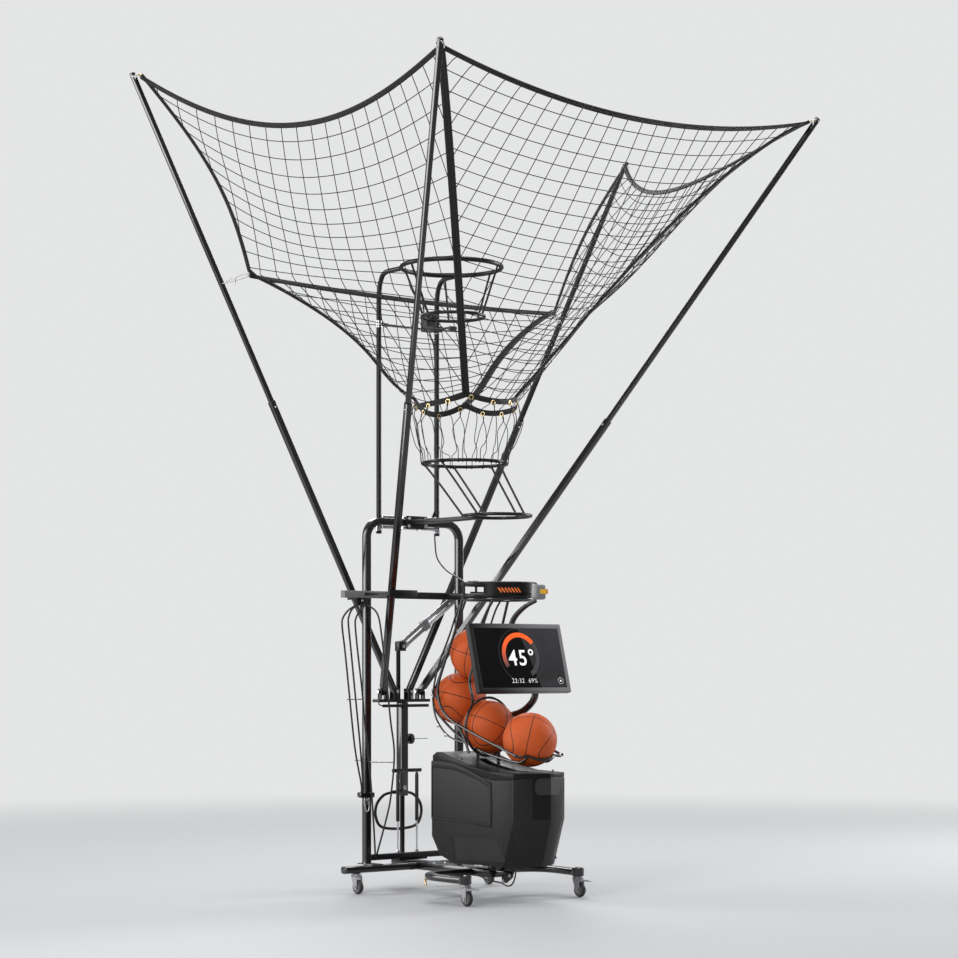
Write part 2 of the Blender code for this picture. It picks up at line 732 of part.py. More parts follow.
hook_tab = box((-0.320, crossbar_y, HOOK_Z + 0.0175), (0.064, 0.006, 0.035))
piece("crossbar", join(bar, *guides, hook_tab), "satin_black", (0, crossbar_y, CROSSBAR_Z))

# Gas springs
for label, side in (("left", -1), ("right", 1)):
    x = side * SPRING_X
    cylinder = rod((x, SPRING_Y, SPRING_LOW_Z), (x, SPRING_Y, SPRING_TOP_Z), SPRING_R, 16)
    bore = rod((x, SPRING_Y, SPRING_LOW_Z - 0.01), (x, SPRING_Y, SPRING_TOP_Z - 0.02), SPRING_ROD_R + SLIDE_FIT, 12)
    piece(label + "_gas_cylinder", cut(cylinder, bore), "black_plastic", (x, SPRING_Y, SPRING_LOW_Z), True)
    stem = rod((x, SPRING_Y, SPRING_FOOT_Z), (x, SPRING_Y, SPRING_LOW_Z + 0.11), SPRING_ROD_R, 12)
    piece(label + "_gas_rod", stem, "bright_steel", (x, SPRING_Y, SPRING_FOOT_Z), True)

# Release bar across the mast under the hub
release = join(
    box((0, MAST_Y - 0.0273, 0.8585), (0.270, 0.012, 0.014), bevel=0.002),
    tube(
        smooth_path(
            [(-0.132, MAST_Y - 0.0273, 0.860), (-0.150, MAST_Y - 0.0273, 0.862), (-0.158, MAST_Y - 0.0273, 0.874), (-0.150, MAST_Y - 0.0273, 0.884)],
            3,
        ),
        0.003,
        6,
        up=(0, 1, 0),
    ),
)
piece("release_bar", release, "satin_black", (0, MAST_Y - 0.0273, 0.8585))

# Brace of two flat bars from the stay to the crossbar's right guide
brace_end_x = rear_guide_x - GUIDE_T / 2 - CLEAR - 0.017
brace_low = Vector((BRACE_LOW_X, BRACE_Y, BRACE_LOW_Z))
brace_high = Vector((brace_end_x, BRACE_Y, BRACE_HIGH_Z))
brace_way = (brace_high - brace_low).normalized()
brace_side = brace_way.cross(Vector((0, 1, 0)))
brace_turn = Matrix((brace_way, Vector((0, 1, 0)), brace_side)).transposed()
brace_length = (brace_high - brace_low).length
BAR_W, BAR_GAP = 0.017, 0.0125
brace_bars = [
    box((brace_low + brace_high) / 2 + brace_side * offset + brace_way * 0.004, (brace_length - 0.008, 0.008, BAR_W), brace_turn)
    for offset in (-BAR_GAP, BAR_GAP)
]
brace_eye = rod(brace_low - Vector((0, 0.0115, 0)), brace_low + Vector((0, 0.0115, 0)), 0.013, 16)
brace_blocks = [
    box(brace_low + brace_way * 0.019, (0.031, 0.0194, 0.0434), brace_turn),
    box(brace_low + brace_way * (0.46 * brace_length), (0.040, 0.024, 0.052), brace_turn, bevel=0.003),
    box(brace_high, (0.034, 0.022, 0.030)),
]
brace_bore = rod(brace_low - Vector((0, 0.03, 0)), brace_low + Vector((0, 0.03, 0)), PIN_R + SLIDE_FIT, 12)
piece("fold_brace", cut(join(brace_eye, *brace_bars, *brace_blocks), brace_bore), "bright_steel", brace_low)

# Loop round the foot of the mast
loop_path = smooth_path(
    [
        (-0.030, 0.8606, 0.447),
        (-0.085, 0.8606, 0.435),
        (-0.128, 0.8606, 0.392),
        (-0.134, 0.8606, 0.335),
        (-0.100, 0.8606, 0.285),
        (0.0, 0.8606, 0.272),
        (0.100, 0.8606, 0.285),
        (0.134, 0.8606, 0.335),
        (0.128, 0.8606, 0.392),
        (0.085, 0.8606, 0.435),
        (0.030, 0.8606, 0.447),
    ],
    2,
)
foot_loop = join(
    tube(loop_path, 0.007, 6, up=(0, 1, 0)),
    rod((-0.034, 0.8606, 0.447), (0.034, 0.8606, 0.447), 0.009, 12),
)
piece("foot_loop", foot_loop, "satin_black", (0, 0.8606, 0.447), True)

# Side wires from the crossbar's hook to the left leg's clamp and the tie bar
hook_wire_z = HOOK_Z - CLEAR - WIRE_R
clamp_wire_z = WIRE_CLAMP_Z + WIRE_CLAMP_H / 2 + CLEAR
tie_wire_y = UPRIGHT_Y - TIE_SIDE / 2 - 2 * CLEAR - 0.004
wire_y = crossbar_y - 0.0077
outer_wire = [
    (-0.356, crossbar_y, hook_wire_z),
    (-0.405, wire_y, 1.303),
    (-0.435, wire_y, 1.268),
    (-0.440, wire_y, 1.230),
    (-0.424, wire_y, 1.116),
    (-0.402, wire_y, 0.937),
    (-0.369, wire_y, 0.674),
    (-0.3225, 0.714, 0.500),
    (-0.3225, 0.714, clamp_wire_z),
]
second_wire = [
    (-0.346, crossbar_y, hook_wire_z),
    (-0.384, wire_y, 1.308),
    (-0.402, wire_y, 1.275),
    (-0.405, wire_y, 1.240),
    (-0.390, wire_y, 1.116),
    (-0.369, wire_y, 0.937),
    (-0.338, wire_y, 0.673),
    (-0.3125, 0.714, 0.500),
    (-0.3125, 0.714, clamp_wire_z),
]
third_wire = [
    (-0.306, crossbar_y, hook_wire_z),
    (-0.340, wire_y, 1.303),
    (-0.362, wire_y, 1.268),
    (-0.366, wire_y, 1.230),
    (-0.351, wire_y, 1.103),
    (-0.328, wire_y, 0.937),
    (-0.311, wire_y, 0.775),
    (-0.279, wire_y, 0.519),
    (-0.246, 0.712, 0.210),
    (-0.240, tie_wire_y, TIE_Z + 0.004),
]
inner_wire = [
    (-0.291, crossbar_y, hook_wire_z),
    (-0.268, wire_y - 0.018, 1.305),
    (-0.256, wire_y - 0.036, 1.262),
    (-0.247, wire_y - 0.050, 1.150),
    (-0.229, wire_y - 0.050, 1.029),
    (-0.195, wire_y - 0.040, 0.802),
    (-0.165, wire_y - 0.030, 0.638),
    (-0.176, wire_y - 0.020, 0.450),
    (-0.193, wire_y - 0.010, 0.346),
    (-0.226, 0.708, 0.205),
    (-0.230, tie_wire_y, TIE_Z + 0.004),
]
wire_parts = [
    tube(wire, WIRE_R, 6, up=(0, 1, 0.01)) for wire in (third_wire, outer_wire, second_wire, inner_wire)
]
ties = [
    rod((-0.360, crossbar_y, hook_wire_z), (-0.287, crossbar_y, hook_wire_z), WIRE_R, 6),
    rod((-0.418, wire_y, 0.893), (-0.321, wire_y, 0.893), WIRE_R * 0.8, 6),
    rod((-0.372, wire_y, 0.612), (-0.334, wire_y, 0.612), WIRE_R * 0.8, 6),
    rod((-0.290, wire_y, 0.602), (-0.165, wire_y - 0.028, 0.5985), WIRE_R * 0.8, 6),
    rod((-0.243, tie_wire_y, TIE_Z + 0.004), (-0.227, tie_wire_y, TIE_Z + 0.004), 0.004, 8),
]
piece("side_wires", join(wire_parts[0], *ties, *wire_parts[1:]), "satin_black")


# Net poles
def make_pole(name, pivot_point, tip, hinge):
    """A hollow lower section on its hub pin and the thinner upper section inside it."""
    start, end = Vector(pivot_point), Vector(tip)
    way = (end - start).normalized()
    length = (end - start).length
    if hinge == "x":
        side = Vector((1, 0, 0))
    else:
        side = Vector((0, 1, 0))
    side = (side - way * side.dot(way)).normalized()
    turn = Matrix((side, way, side.cross(way))).transposed()
    step = length * POLE_STEP
    lower = box(start + way * (step - 0.011) / 2, (POLE_SIDE, step + 0.011, POLE_SIDE), turn)
    pocket_low = 0.060
    pocket = box(start + way * (step + 0.02 + pocket_low) / 2, (POLE_BORE, step + 0.02 - pocket_low, POLE_BORE), turn)
    reach = Vector((0.05, 0, 0)) if hinge == "x" else Vector((0, 0.05, 0))
    hole = rod(start - reach, start + reach, PIN_R + SLIDE_FIT, 12)
    flank = (0.070, 0.045, 0.045) if hinge == "x" else (0.045, 0.070, 0.045)
    flank_a = box(start + reach.normalized() * (POLE_SIDE / 2 + 0.0355), flank)
    flank_b = box(start - reach.normalized() * (POLE_SIDE / 2 + 0.0355), flank)
    piece(name + "_lower", cut(lower, pocket, hole, flank_a, flank_b), "gloss_black", start)
    upper_start = start + way * (step - POLE_OVERLAP + 0.002)
    upper_mid = (upper_start + end) / 2
    upper_length = (end - upper_start).length
    upper = box(upper_mid, (POLE_UPPER_SIDE, upper_length, POLE_UPPER_SIDE), turn)
    hollow = POLE_UPPER_SIDE - 2 * POLE_WALL
    core = box(upper_mid - way * POLE_WALL * 4, (hollow, upper_length, hollow), turn)
    piece(name + "_upper", cut(upper, core), "gloss_black", start)


for label, side in (("left", -1), ("right", 1)):
    make_pole(
        "front_" + label + "_pole",
        (side * FRONT_PIVOT_X, PIVOT_Y, HUB_Z),
        (side * FRONT_TIP[0], FRONT_TIP[1], FRONT_TIP[2]),
        "x",
    )
    make_pole(
        "rear_" + label + "_pole",
        (side * REAR_PIVOT_X, PIVOT_Y, HUB_Z),
        (side * REAR_TIP[0], REAR_TIP[1], REAR_TIP[2]),
        "y",
    )


# Net panels
def collar_point(angle):
    return Vector((COLLAR_R * math.cos(angle), COLLAR_Y + COLLAR_R * math.sin(angle), COLLAR_Z + COLLAR_H / 2 + 0.0018))


def net_panel(top_left, top_right, angle_left, angle_right, droop, bow):
    """A hanging panel from its drooping top edge to an arc of the collar, which hangs in a hollow curve."""
    rows, columns = 10, 9
    grid = []
    for i in range(rows):
        row = []
        t = i / (rows - 1)
        for j in range(columns):
            s = j / (columns - 1)
            top = Vector(top_left).lerp(Vector(top_right), s)
            top.z -= droop * 4 * s * (1 - s)
            angle = angle_left + (angle_right - angle_left) * s
            bottom = collar_point(angle)
            point = top.lerp(bottom, t)
            point.z -= bow * math.sin(math.pi * t)
            point = drawn_in(point, front_corner, front_seam(t) * near_edge(s))
            point = left_of(drawn_in(left_of(point), front_corner, front_seam(t) * near_edge(1 - s)))
            row.append(point)
        grid.append(row)
    return grid


front_corner = Vector(FRONT_TIP) + Vector((-0.022, 0.030, -0.012))
rear_corner = Vector(REAR_TIP) + Vector((-0.026, -0.030, -0.010))
strap_corner = Vector(REAR_STRAP) + Vector(STRAP_REACH)
FRONT_ANGLE = math.radians(-52)
REAR_ANGLE = math.radians(52)
PANEL_GAP = math.radians(0.7)


KNEE = 0.4


def left_of(vector):
    return Vector((-vector.x, vector.y, vector.z))


def drawn_in(point, corner, amount):
    """A point moved level by amount, the way that leads from a right corner to the net's axis."""
    way = Vector((-corner.x, COLLAR_Y - corner.y, 0)).normalized()
    return point + way * amount


def front_seam(t):
    """How far the front seams are drawn in, from the pole tip at t = 0 to the collar at t = 1."""
    return FRONT_SEAM_BOW * math.sin(math.pi * t**0.66)


def rear_seam(t):
    """The same for the rear edge above the knee and the rear seam below it."""
    if t < KNEE:
        return REAR_EDGE_BOW * math.sin(math.pi * t / KNEE)
    return REAR_SEAM_BOW * math.sin(math.pi * ((t - KNEE) / (1 - KNEE)) ** 0.8)


def near_edge(s):
    """The share of an edge's bow at s: 1 at the edge s = 1, and 0 from the middle on."""
    return max(0.0, 2 * s - 1) ** 1.5


def shifted(vector, amount):
    return Vector(vector) + Vector(amount)


front_grid = net_panel(
    shifted(left_of(front_corner), (0.004, 0, 0)),
    shifted(front_corner, (-0.004, 0, 0)),
    math.pi - FRONT_ANGLE + PANEL_GAP,
    2 * math.pi + FRONT_ANGLE - PANEL_GAP,
    0.060,
    0.06,
)
piece("net_front", sheet(front_grid, CLOTH_T), "net_cloth")

rear_rows, rear_columns = 8, 11
rear_grid = []
for i in range(rear_rows):
    t = i / (rear_rows - 1)
    row = []
    for j in range(rear_columns):
        s = j / (rear_columns - 1)
        x = strap_corner.x * (2 * s - 1) * 0.996
        forward = 0.045 * (1 - min(1.0, abs(x) / 0.9) ** 2)
        top = Vector((x, strap_corner.y - forward, strap_corner.z - 0.028 * (1 - (2 * s - 1) ** 2)))
        angle = math.pi - REAR_ANGLE - PANEL_GAP + (2 * REAR_ANGLE - math.pi + 2 * PANEL_GAP) * s
        point = top.lerp(collar_point(angle), t)
        point.z -= 0.035 * math.sin(math.pi * t) * (1 - (2 * s - 1) ** 2)
        inward = rear_seam(KNEE + (1 - KNEE) * t)
        point = drawn_in(point, strap_corner, inward * near_edge(s))
        point = left_of(drawn_in(left_of(point), strap_corner, inward * near_edge(1 - s)))
        row.append(point)
    rear_grid.append(row)
piece("net_rear", sheet(rear_grid, CLOTH_T), "net_cloth")

side_steps = (0.0, 0.1, 0.2, 0.3, KNEE, 0.52, 0.64, 0.76, 0.88, 1.0)
side_columns = 9
for label, side in (("left", -1), ("right", 1)):
    side_grid = []
    for t in side_steps:
        row = []
        for j in range(side_columns):
            s = j / (side_columns - 1)
            top = shifted(front_corner, (0.004, 0.006, 0)).lerp(rear_corner, s)
            top.z -= 0.27 * 4 * s * (1 - s)
            front_angle = FRONT_ANGLE + PANEL_GAP
            angle = front_angle + (REAR_ANGLE - PANEL_GAP - front_angle) * s
            bottom = collar_point(angle)
            strap = shifted(strap_corner, (0.005, 0.004, 0))
            knee = front_corner.lerp(collar_point(FRONT_ANGLE), KNEE).lerp(strap, s)
            if t < KNEE:
                point = top.lerp(knee, t / KNEE)
            else:
                point = knee.lerp(bottom, (t - KNEE) / (1 - KNEE))
            point.z -= 0.05 * math.sin(math.pi * t) * (1 - s)
            point = drawn_in(point, front_corner, front_seam(t) * near_edge(1 - s))
            point = drawn_in(point, strap_corner, rear_seam(t) * near_edge(s))
            row.append(Vector((side * point.x, point.y, point.z)))
        side_grid.append(row)
    piece("net_" + label, sheet(side_grid, CLOTH_T), "net_cloth")

collar_segments = 28
collar_points, collar_faces = [], []
for k in range(collar_segments):
    angle = 2 * math.pi * k / collar_segments
    for radius, z in (
        (COLLAR_R + CLOTH_T / 2, COLLAR_Z - COLLAR_H / 2),
        (COLLAR_R + CLOTH_T / 2, COLLAR_Z + COLLAR_H / 2),
        (COLLAR_R - CLOTH_T / 2, COLLAR_Z + COLLAR_H / 2),
        (COLLAR_R - CLOTH_T / 2, COLLAR_Z - COLLAR_H / 2),
    ):
        collar_points.append((radius * math.cos(angle), COLLAR_Y + radius * math.sin(angle), z))
for k in range(collar_segments):
    a, b = 4 * k, 4 * ((k + 1) % collar_segments)
    for m in range(4):
        collar_faces.append((a + m, a + (m + 1) % 4, b + (m + 1) % 4, b + m))
piece("net_collar", mesh_from(collar_points, collar_faces), "net_cloth")

lace_path = []
lace_count = 12
for k in range(lace_count):
    angle = 2 * math.pi * k / lace_count
    half_step = math.pi / lace_count
    high_r = COLLAR_R
    lace_path.append((high_r * math.cos(angle), COLLAR_Y + high_r * math.sin(angle), COLLAR_Z - COLLAR_H / 2 - LACE_R - 0.0012))
    low = angle + half_step
    low_r = FUNNEL_R
    lace_path.append((low_r * math.cos(low), FUNNEL_Y + low_r * math.sin(low), FUNNEL_Z + 0.008 + LACE_R + 0.0014))
piece("lacing_cord", tube(lace_path, LACE_R, 5, closed=True), "net_cloth")

# Make ring on its two tubes
tubes = []
for side in (-1, 1):
    x = side * SENSOR_HALF
    path = [(x, SENSOR_Y, SENSOR_LOW_Z), (x, SENSOR_Y, 2.0), (x, SENSOR_Y, 2.4)]
    path += smooth_path([(x, SENSOR_Y, 2.790), (x, SENSOR_Y - 0.014, 2.850), (x, 0.730, MAKE_Z - 0.004), (x * 0.97, 0.612, MAKE_Z)], 3)
    tubes.append(tube(path, SENSOR_TUBE_R, 8, up=(1, 0, 0)))
upper_ring = ring((0, MAKE_Y, MAKE_Z), MAKE_R, 0.011)
lower_ring = ring((0, MAKE_LOW_Y, MAKE_LOW_Z), MAKE_LOW_R, 0.008)
struts = []
for k in range(6):
    angle = math.radians(60 * k)
    struts.append(
        rod(
            (MAKE_R * math.cos(angle), MAKE_Y + MAKE_R * math.sin(angle), MAKE_Z),
            (MAKE_LOW_R * math.cos(angle), MAKE_LOW_Y + MAKE_LOW_R * math.sin(angle), MAKE_LOW_Z),
            0.005,
            8,
        )
    )
cross_rod = rod((-SENSOR_HALF, SENSOR_Y, 2.650), (SENSOR_HALF, SENSOR_Y, 2.650), 0.007, 10)
clamp_bar = box((0, SENSOR_Y - 0.00725, 1.722), (2 * SENSOR_HALF, 0.0365, 0.020), bevel=0.002)
gusset = box((0.150, SENSOR_Y, 1.765), (0.040, 0.010, 0.070))
piece(
    "make_ring_frame",
    join(upper_ring, *struts, lower_ring, *tubes, cross_rod, clamp_bar, gusset),
    "satin_black",
)
sensor = join(
    box((0, 0.6225, 2.655), (0.062, 0.050, 0.088), bevel=0.004),
    box((0, 0.598, 2.6777), (0.034, 0.046, 0.016)),
    box((-0.024, 0.580, 2.618), (0.008, 0.060, 0.026)),
    box((0.024, 0.580, 2.618), (0.008, 0.060, 0.026)),
    rod((-0.027, 0.566, 2.616), (0.027, 0.566, 2.616), 0.003, 10),
)
piece("sensor_box", sensor, "black_plastic", (0, 0.6, 2.655))
paddle = join(
    rod((-0.016, 0.566, 2.616), (0.016, 0.566, 2.616), 0.008, 12),
    box((0, 0.500, 2.613), (0.026, 0.126, 0.005)),
    box((0, 0.440, 2.607), (0.040, 0.020, 0.018), bevel=0.003),
)
paddle = cut(paddle, rod((-0.05, 0.566, 2.616), (0.05, 0.566, 2.616), 0.003 + SLIDE_FIT, 10))
piece("sensor_paddle", paddle, "black_plastic", (0, 0.566, 2.616))

cable_path = [(0.0, 0.6480, 2.665)] + smooth_path(
    [
        (0.0, 0.6570, 2.666),
        (0.004, 0.672, 2.760),
        (0.020, 0.725, 2.822),
        (0.055, 0.778, 2.795),
        (0.100, 0.797, 2.720),
        (0.148, 0.8005, 2.620),
        (SENSOR_HALF, 0.8005, 2.520),
        (SENSOR_HALF + 0.001, 0.8005, 2.100),
        (SENSOR_HALF + 0.001, 0.8005, 1.700),
        (SENSOR_HALF - 0.006, 0.790, 1.640),
        (0.140, 0.740, 1.560),
        (0.115, 0.640, 1.500),
        (0.070, 0.500, 1.462),
        (0.020, 0.390, 1.440),
        (0.0, 0.350, 1.430),
        (0.0, 0.3139, 1.424),
    ],
    2,
)
piece("sensor_cable", tube(cable_path, 0.0035, 6, up=(1, 0, 0)), "black_plastic", smooth=True)

# Funnel frame on its arm
funnel_ring = ring((0, FUNNEL_Y, FUNNEL_Z), FUNNEL_R, 0.008)
lower_loop = ring((0, LOOP_Y, LOOP_Z), LOOP_R, 0.008)
rods = []
for degrees in FUNNEL_ROD_ANGLES:
    angle = math.radians(degrees)
    high = Vector((FUNNEL_R * math.cos(angle), FUNNEL_Y + FUNNEL_R * math.sin(angle), FUNNEL_Z))
    low = Vector((LOOP_R * math.cos(angle), LOOP_Y + LOOP_R * math.sin(angle), LOOP_Z))
    middle = high.lerp(low, 0.45) + Vector((0, 0.018, 0.020))
    rods.append(tube(smooth_path([high, middle, low], 4), 0.005, 6))
arm = prism([(-0.045, 0.722), (-0.020, 0.262), (0.020, 0.262), (0.045, 0.722)], 1.7155, 1.7335)
clamp_front = box((0.0, UPRIGHT_Y - 0.024, 1.722), (0.120, 0.0125, 0.062), bevel=0.002)
clamp_top = box((0.030, UPRIGHT_Y - 0.010, UPRIGHT_TOP_Z + 0.0208), (0.034, 0.040, 0.007))
clamp_under = box((0.030, UPRIGHT_Y - 0.010, UPRIGHT_TOP_Z - 0.0208), (0.034, 0.040, 0.007))
bolts = [
    rod((x, UPRIGHT_Y - 0.036, 1.705), (x, UPRIGHT_Y - 0.024, 1.705), 0.006, 8) for x in (-0.048, 0.048)
]
piece(
    "funnel_frame",
    join(funnel_ring, *rods, lower_loop, arm, clamp_front, clamp_top, clamp_under, *bolts),
    "satin_black",
)

# Launcher housing
def tapered_body(inset, low_front, low_z, top_z):
    """The housing's plan pushed up, its front drawn in below the bend so that each front corner has a slant."""
    half = BODY_HALF - inset
    corner_in, nose_in = inset / 2, inset * 1.2
    upper = [
        (0.0, BODY_REAR_Y - inset),
        (half - 0.015 + inset, BODY_REAR_Y - inset),
        (half, BODY_REAR_Y - 0.015),
        (half, -0.090 + inset / 3),
        (half, -0.183 + corner_in),
        (0.082 - inset / 3, -0.236 + nose_in),
        (0.0, -0.262 + nose_in),
    ]
    lower = upper[:4] + [
        (0.087 - inset * 0.9, -0.168 + inset),
        (0.065 - inset / 2, -0.186 + nose_in),
        (0.0, -0.205 + nose_in),
    ]
    bend = 0.370
    stretch = (bend - low_z) / (bend - low_front)
    lowest = [(u[0] + (w[0] - u[0]) * stretch, u[1] + (w[1] - u[1]) * stretch) for u, w in zip(upper, lower)]

    def whole(half_plan, z):
        left = [(-x, y) for x, y in half_plan[-2:0:-1]]
        return [(x, y, z) for x, y in half_plan + left]

    rings = [whole(lowest, low_z), whole(upper, bend), whole(upper, top_z)]
    count = len(rings[0])
    points = rings[0] + rings[1] + rings[2]
    faces = [tuple(range(count)), tuple(range(2 * count, 3 * count))]
    for k in range(count):
        m = (k + 1) % count
        a, b, c, d = k, m, count + m, count + k
        if k < count // 2:
            faces += [(a, b, c), (a, c, d)]
        else:
            faces += [(a, b, d), (b, c, d)]
        faces.append((d, c, 2 * count + m, 2 * count + k))
    return mesh_from(points, faces)


profile = [
    (BODY_REAR_Y + 0.01, 0.307),
    (BODY_REAR_Y + 0.01, 0.6145),
    (-0.040, 0.541),
    (-0.180, 0.548),
    (-0.300, 0.566),
    (-0.300, 0.163),
    (-0.168, 0.163),
    (0.248, 0.1585),
    (0.345, 0.188),
]
inner_profile = [
    (BODY_REAR_Y + 0.01, 0.312),
    (BODY_REAR_Y + 0.01, 0.70),
    (-0.300, 0.70),
    (-0.300, 0.1695),
    (-0.164, 0.1695),
    (0.246, 0.165),
    (0.340, 0.193),
]
outer = overlap(tapered_body(0.0, 0.163, 0.10, 0.75), prism(profile, -0.3, 0.3, "x"))
inner = overlap(tapered_body(BODY_WALL, 0.163, 0.10, 0.75), prism(inner_profile, -0.3, 0.3, "x"))
shell = cut(outer, inner)
rear_side = box((0, BODY_SPLIT_Y + 0.4 + CLEAR / 2, 0.4), (0.5, 0.8, 0.8))
front_side = box((0, BODY_SPLIT_Y - 0.2 - CLEAR / 2, 0.4), (0.5, 0.4, 0.8))
pan_boss = rod((0, PAN_Y, BRACKET_TOP_Z + 0.0005), (0, PAN_Y, 0.175), 0.060, 24)
arm_posts = []
for side in (-1, 1):
    arm_posts.append(box((side * 0.036, 0.270, 0.270), (0.010, 0.060, 0.230)))
arm_pin = rod((-0.045, 0.270, 0.365), (0.045, 0.270, 0.365), 0.008, 12)
front_cover = overlap(shell.copy(), front_side)
housing = join(overlap(shell, rear_side), pan_boss, *arm_posts, arm_pin)
piece("housing_shell", housing, "satin_black", (0, PAN_Y, 0.16))
piece("front_cover", front_cover, "gloss_black", (0, PAN_Y, 0.16))

lid_plan = [
    (-BODY_HALF + 0.001, BODY_REAR_Y - 0.020),
    (-BODY_HALF + 0.020, BODY_REAR_Y - 0.002),
    (BODY_HALF - 0.020, BODY_REAR_Y - 0.002),
    (BODY_HALF - 0.001, BODY_REAR_Y - 0.020),
    (BODY_HALF - 0.001, -0.182),
    (0.081, -0.233),
    (0.0, -0.258),
    (-0.081, -0.233),
    (-BODY_HALF + 0.001, -0.182),
]
lid_profile = [
    (BODY_REAR_Y + 0.01, 0.6148 + 0.0002),
    (BODY_REAR_Y + 0.01, 0.622),
    (0.372, 0.655),
    (0.330, 0.657),
    (0.150, 0.604),
    (0.0, 0.580),
    (-0.180, 0.575),
    (-0.300, 0.575),
    (-0.300, 0.5668),
    (-0.180, 0.5485),
    (-0.040, 0.5415),
]
lid = overlap(prism(lid_plan, 0.10, 0.75), prism(lid_profile, -0.3, 0.3, "x"))
lid_slot = box((0, 0.060, 0.60), (0.046, 0.330, 0.30))
piece("top_cover", cut(lid, lid_slot), "gloss_black", (0, PAN_Y, 0.55))

launch_arm = join(
    rod((-0.028, 0.270, 0.365), (0.028, 0.270, 0.365), 0.018, 16),
    prism([(0.262, 0.352), (0.285, 0.372), (-0.060, 0.556), (-0.078, 0.538)], -0.011, 0.011, "x"),
    box((0, -0.066, 0.551), (0.036, 0.052, 0.014), Matrix.Rotation(math.radians(-20), 3, "X")),
)
launch_arm = cut(launch_arm, rod((-0.05, 0.270, 0.365), (0.05, 0.270, 0.365), 0.008 + SLIDE_FIT, 12))
piece("launch_arm", launch_arm, "bright_steel", (0, 0.270, 0.365))

# Basket above the chute
hoops = [
    ring((0, BASKET_Y, BASKET_HIGH_Z), BASKET_R, 0.008),
    ring((0, BASKET_Y, BASKET_LOW_Z), BASKET_R, 0.008),
]
uprights = []
for degrees in (20, 90, 160):
    angle = math.radians(degrees)
    x, y = BASKET_R * math.cos(angle), BASKET_Y + BASKET_R * math.sin(angle)
    uprights.append(rod((x, y, BASKET_LOW_Z), (x, y, BASKET_HIGH_Z), 0.006, 8))
band_outline = []
for radius, order in ((BASKET_R + 0.009, range(11)), (BASKET_R + 0.004, range(10, -1, -1))):
    for k in order:
        angle = math.radians(205 + 13 * k)
        band_outline.append((radius * math.cos(angle), BASKET_Y + radius * math.sin(angle)))
band = prism(band_outline, BASKET_LOW_Z - 0.002, BASKET_HIGH_Z + 0.002)
cable_socket = box((0, 0.288, 1.424), (0.026, 0.050, 0.024), bevel=0.002)
basket_arm = box((0, -0.112, 1.368), (0.014, 0.090, 0.014))
basket = join(hoops[0], *uprights, hoops[1], band, cable_socket, basket_arm)
piece("basket_loop", basket, "satin_black", (0, PAN_Y, BASKET_LOW_Z))
piece(
    "tip_housing",
    box((0, -0.1785, 1.373), (0.062, 0.042, 0.066), bevel=0.008),
    "grey_plastic",
    (0, PAN_Y, 1.373),
)

# Ball chute
d_rail = math.sqrt((BALL_R + RAIL_R - RAIL_FLAT) ** 2 - RAIL_X**2)


def around(index, degrees, half_turn=0.0):
    """A corner of the support rail, whose straight runs touch a circle round one ball."""
    y, z = BALL_CENTRES[index]
    reach = d_rail / math.cos(math.radians(half_turn))
    return (y + reach * math.cos(math.radians(degrees)), z + reach * math.sin(math.radians(degrees)))


HOOP_R = BALL_R + RAIL_R + 0.0055
HOOP_Y = BALL_CENTRES[2][0] + 0.004
HOOP_Z = BALL_CENTRES[2][1] + 0.002
CHUTE_TOP_Z = BASKET_LOW_Z - 0.008 - CLEAR - RAIL_R


def top_point(x, front=False):
    """Where a rod at this X meets the chute's top hoop."""
    reach = math.sqrt(BASKET_R**2 - x**2)
    return (BASKET_Y + (-reach if front else reach), CHUTE_TOP_Z)


def on_hoop(x, upper):
    rise = math.sqrt(HOOP_R**2 - x**2)
    return (HOOP_Y, HOOP_Z + (rise if upper else -rise))


NEAR_X, OUTER_X, GUARD_X = 0.133, 0.110, 0.120
support = [
    top_point(RAIL_X),
    (0.290, 1.270),
    around(0, 30),
    around(1, 15, 15),
    around(1, -14.5, 15),
    around(1, -44.2, 15),
    around(2, -69.5, 10.5),
    around(3, -95, 15),
    around(3, -125, 15),
    around(3, -140),
]
near_rod = [
    top_point(NEAR_X),
    (0.222, 1.280),
    (0.250, 1.202),
    (0.338, 1.047),
    (0.382, 0.950),
    (0.374, 0.885),
    (0.325, 0.822),
    (0.245, 0.789),
    (0.200, 0.750),
    (0.165, 0.690),
    (0.150, 0.655),
]
outer_rod = [
    top_point(OUTER_X),
    (0.265, 1.300),
    (0.320, 1.184),
    (0.404, 1.057),
    (0.446, 0.935),
    (0.444, 0.855),
    (0.412, 0.787),
    (0.335, 0.725),
    (0.240, 0.704),
    on_hoop(OUTER_X, False),
]
guard_wire = [
    (-GUARD_X, *top_point(GUARD_X, True)),
    (-GUARD_X, 0.030, 1.300),
    (-GUARD_X, 0.100, 1.200),
    (-GUARD_X, 0.128, 1.120),
    (-GUARD_X, 0.130, 1.056),
    (-GUARD_X, 0.169, 0.975),
    (-GUARD_X, 0.135, 0.905),
    (-0.095, *on_hoop(0.095, True)),
]
guard_tube = [
    (GUARD_X, top_point(GUARD_X, True)[0], top_point(GUARD_X, True)[1] - 0.0065),
    (GUARD_X, 0.060, 1.318),
    (GUARD_X, 0.150, 1.262),
    (GUARD_X, 0.168, 1.190),
    (GUARD_X, 0.130, 1.090),
    (GUARD_X, 0.050, 1.000),
    (GUARD_X, -0.010, 0.945),
    (GUARD_X, -0.012, 0.900),
    (GUARD_X, 0.054, 0.849),
    (GUARD_X, 0.120, 0.828),
    (GUARD_X, *on_hoop(GUARD_X, True)),
]
side_rail = [(0.236, 0.784), (0.080, 0.732), (-0.100, 0.678), (-0.180, 0.653)]
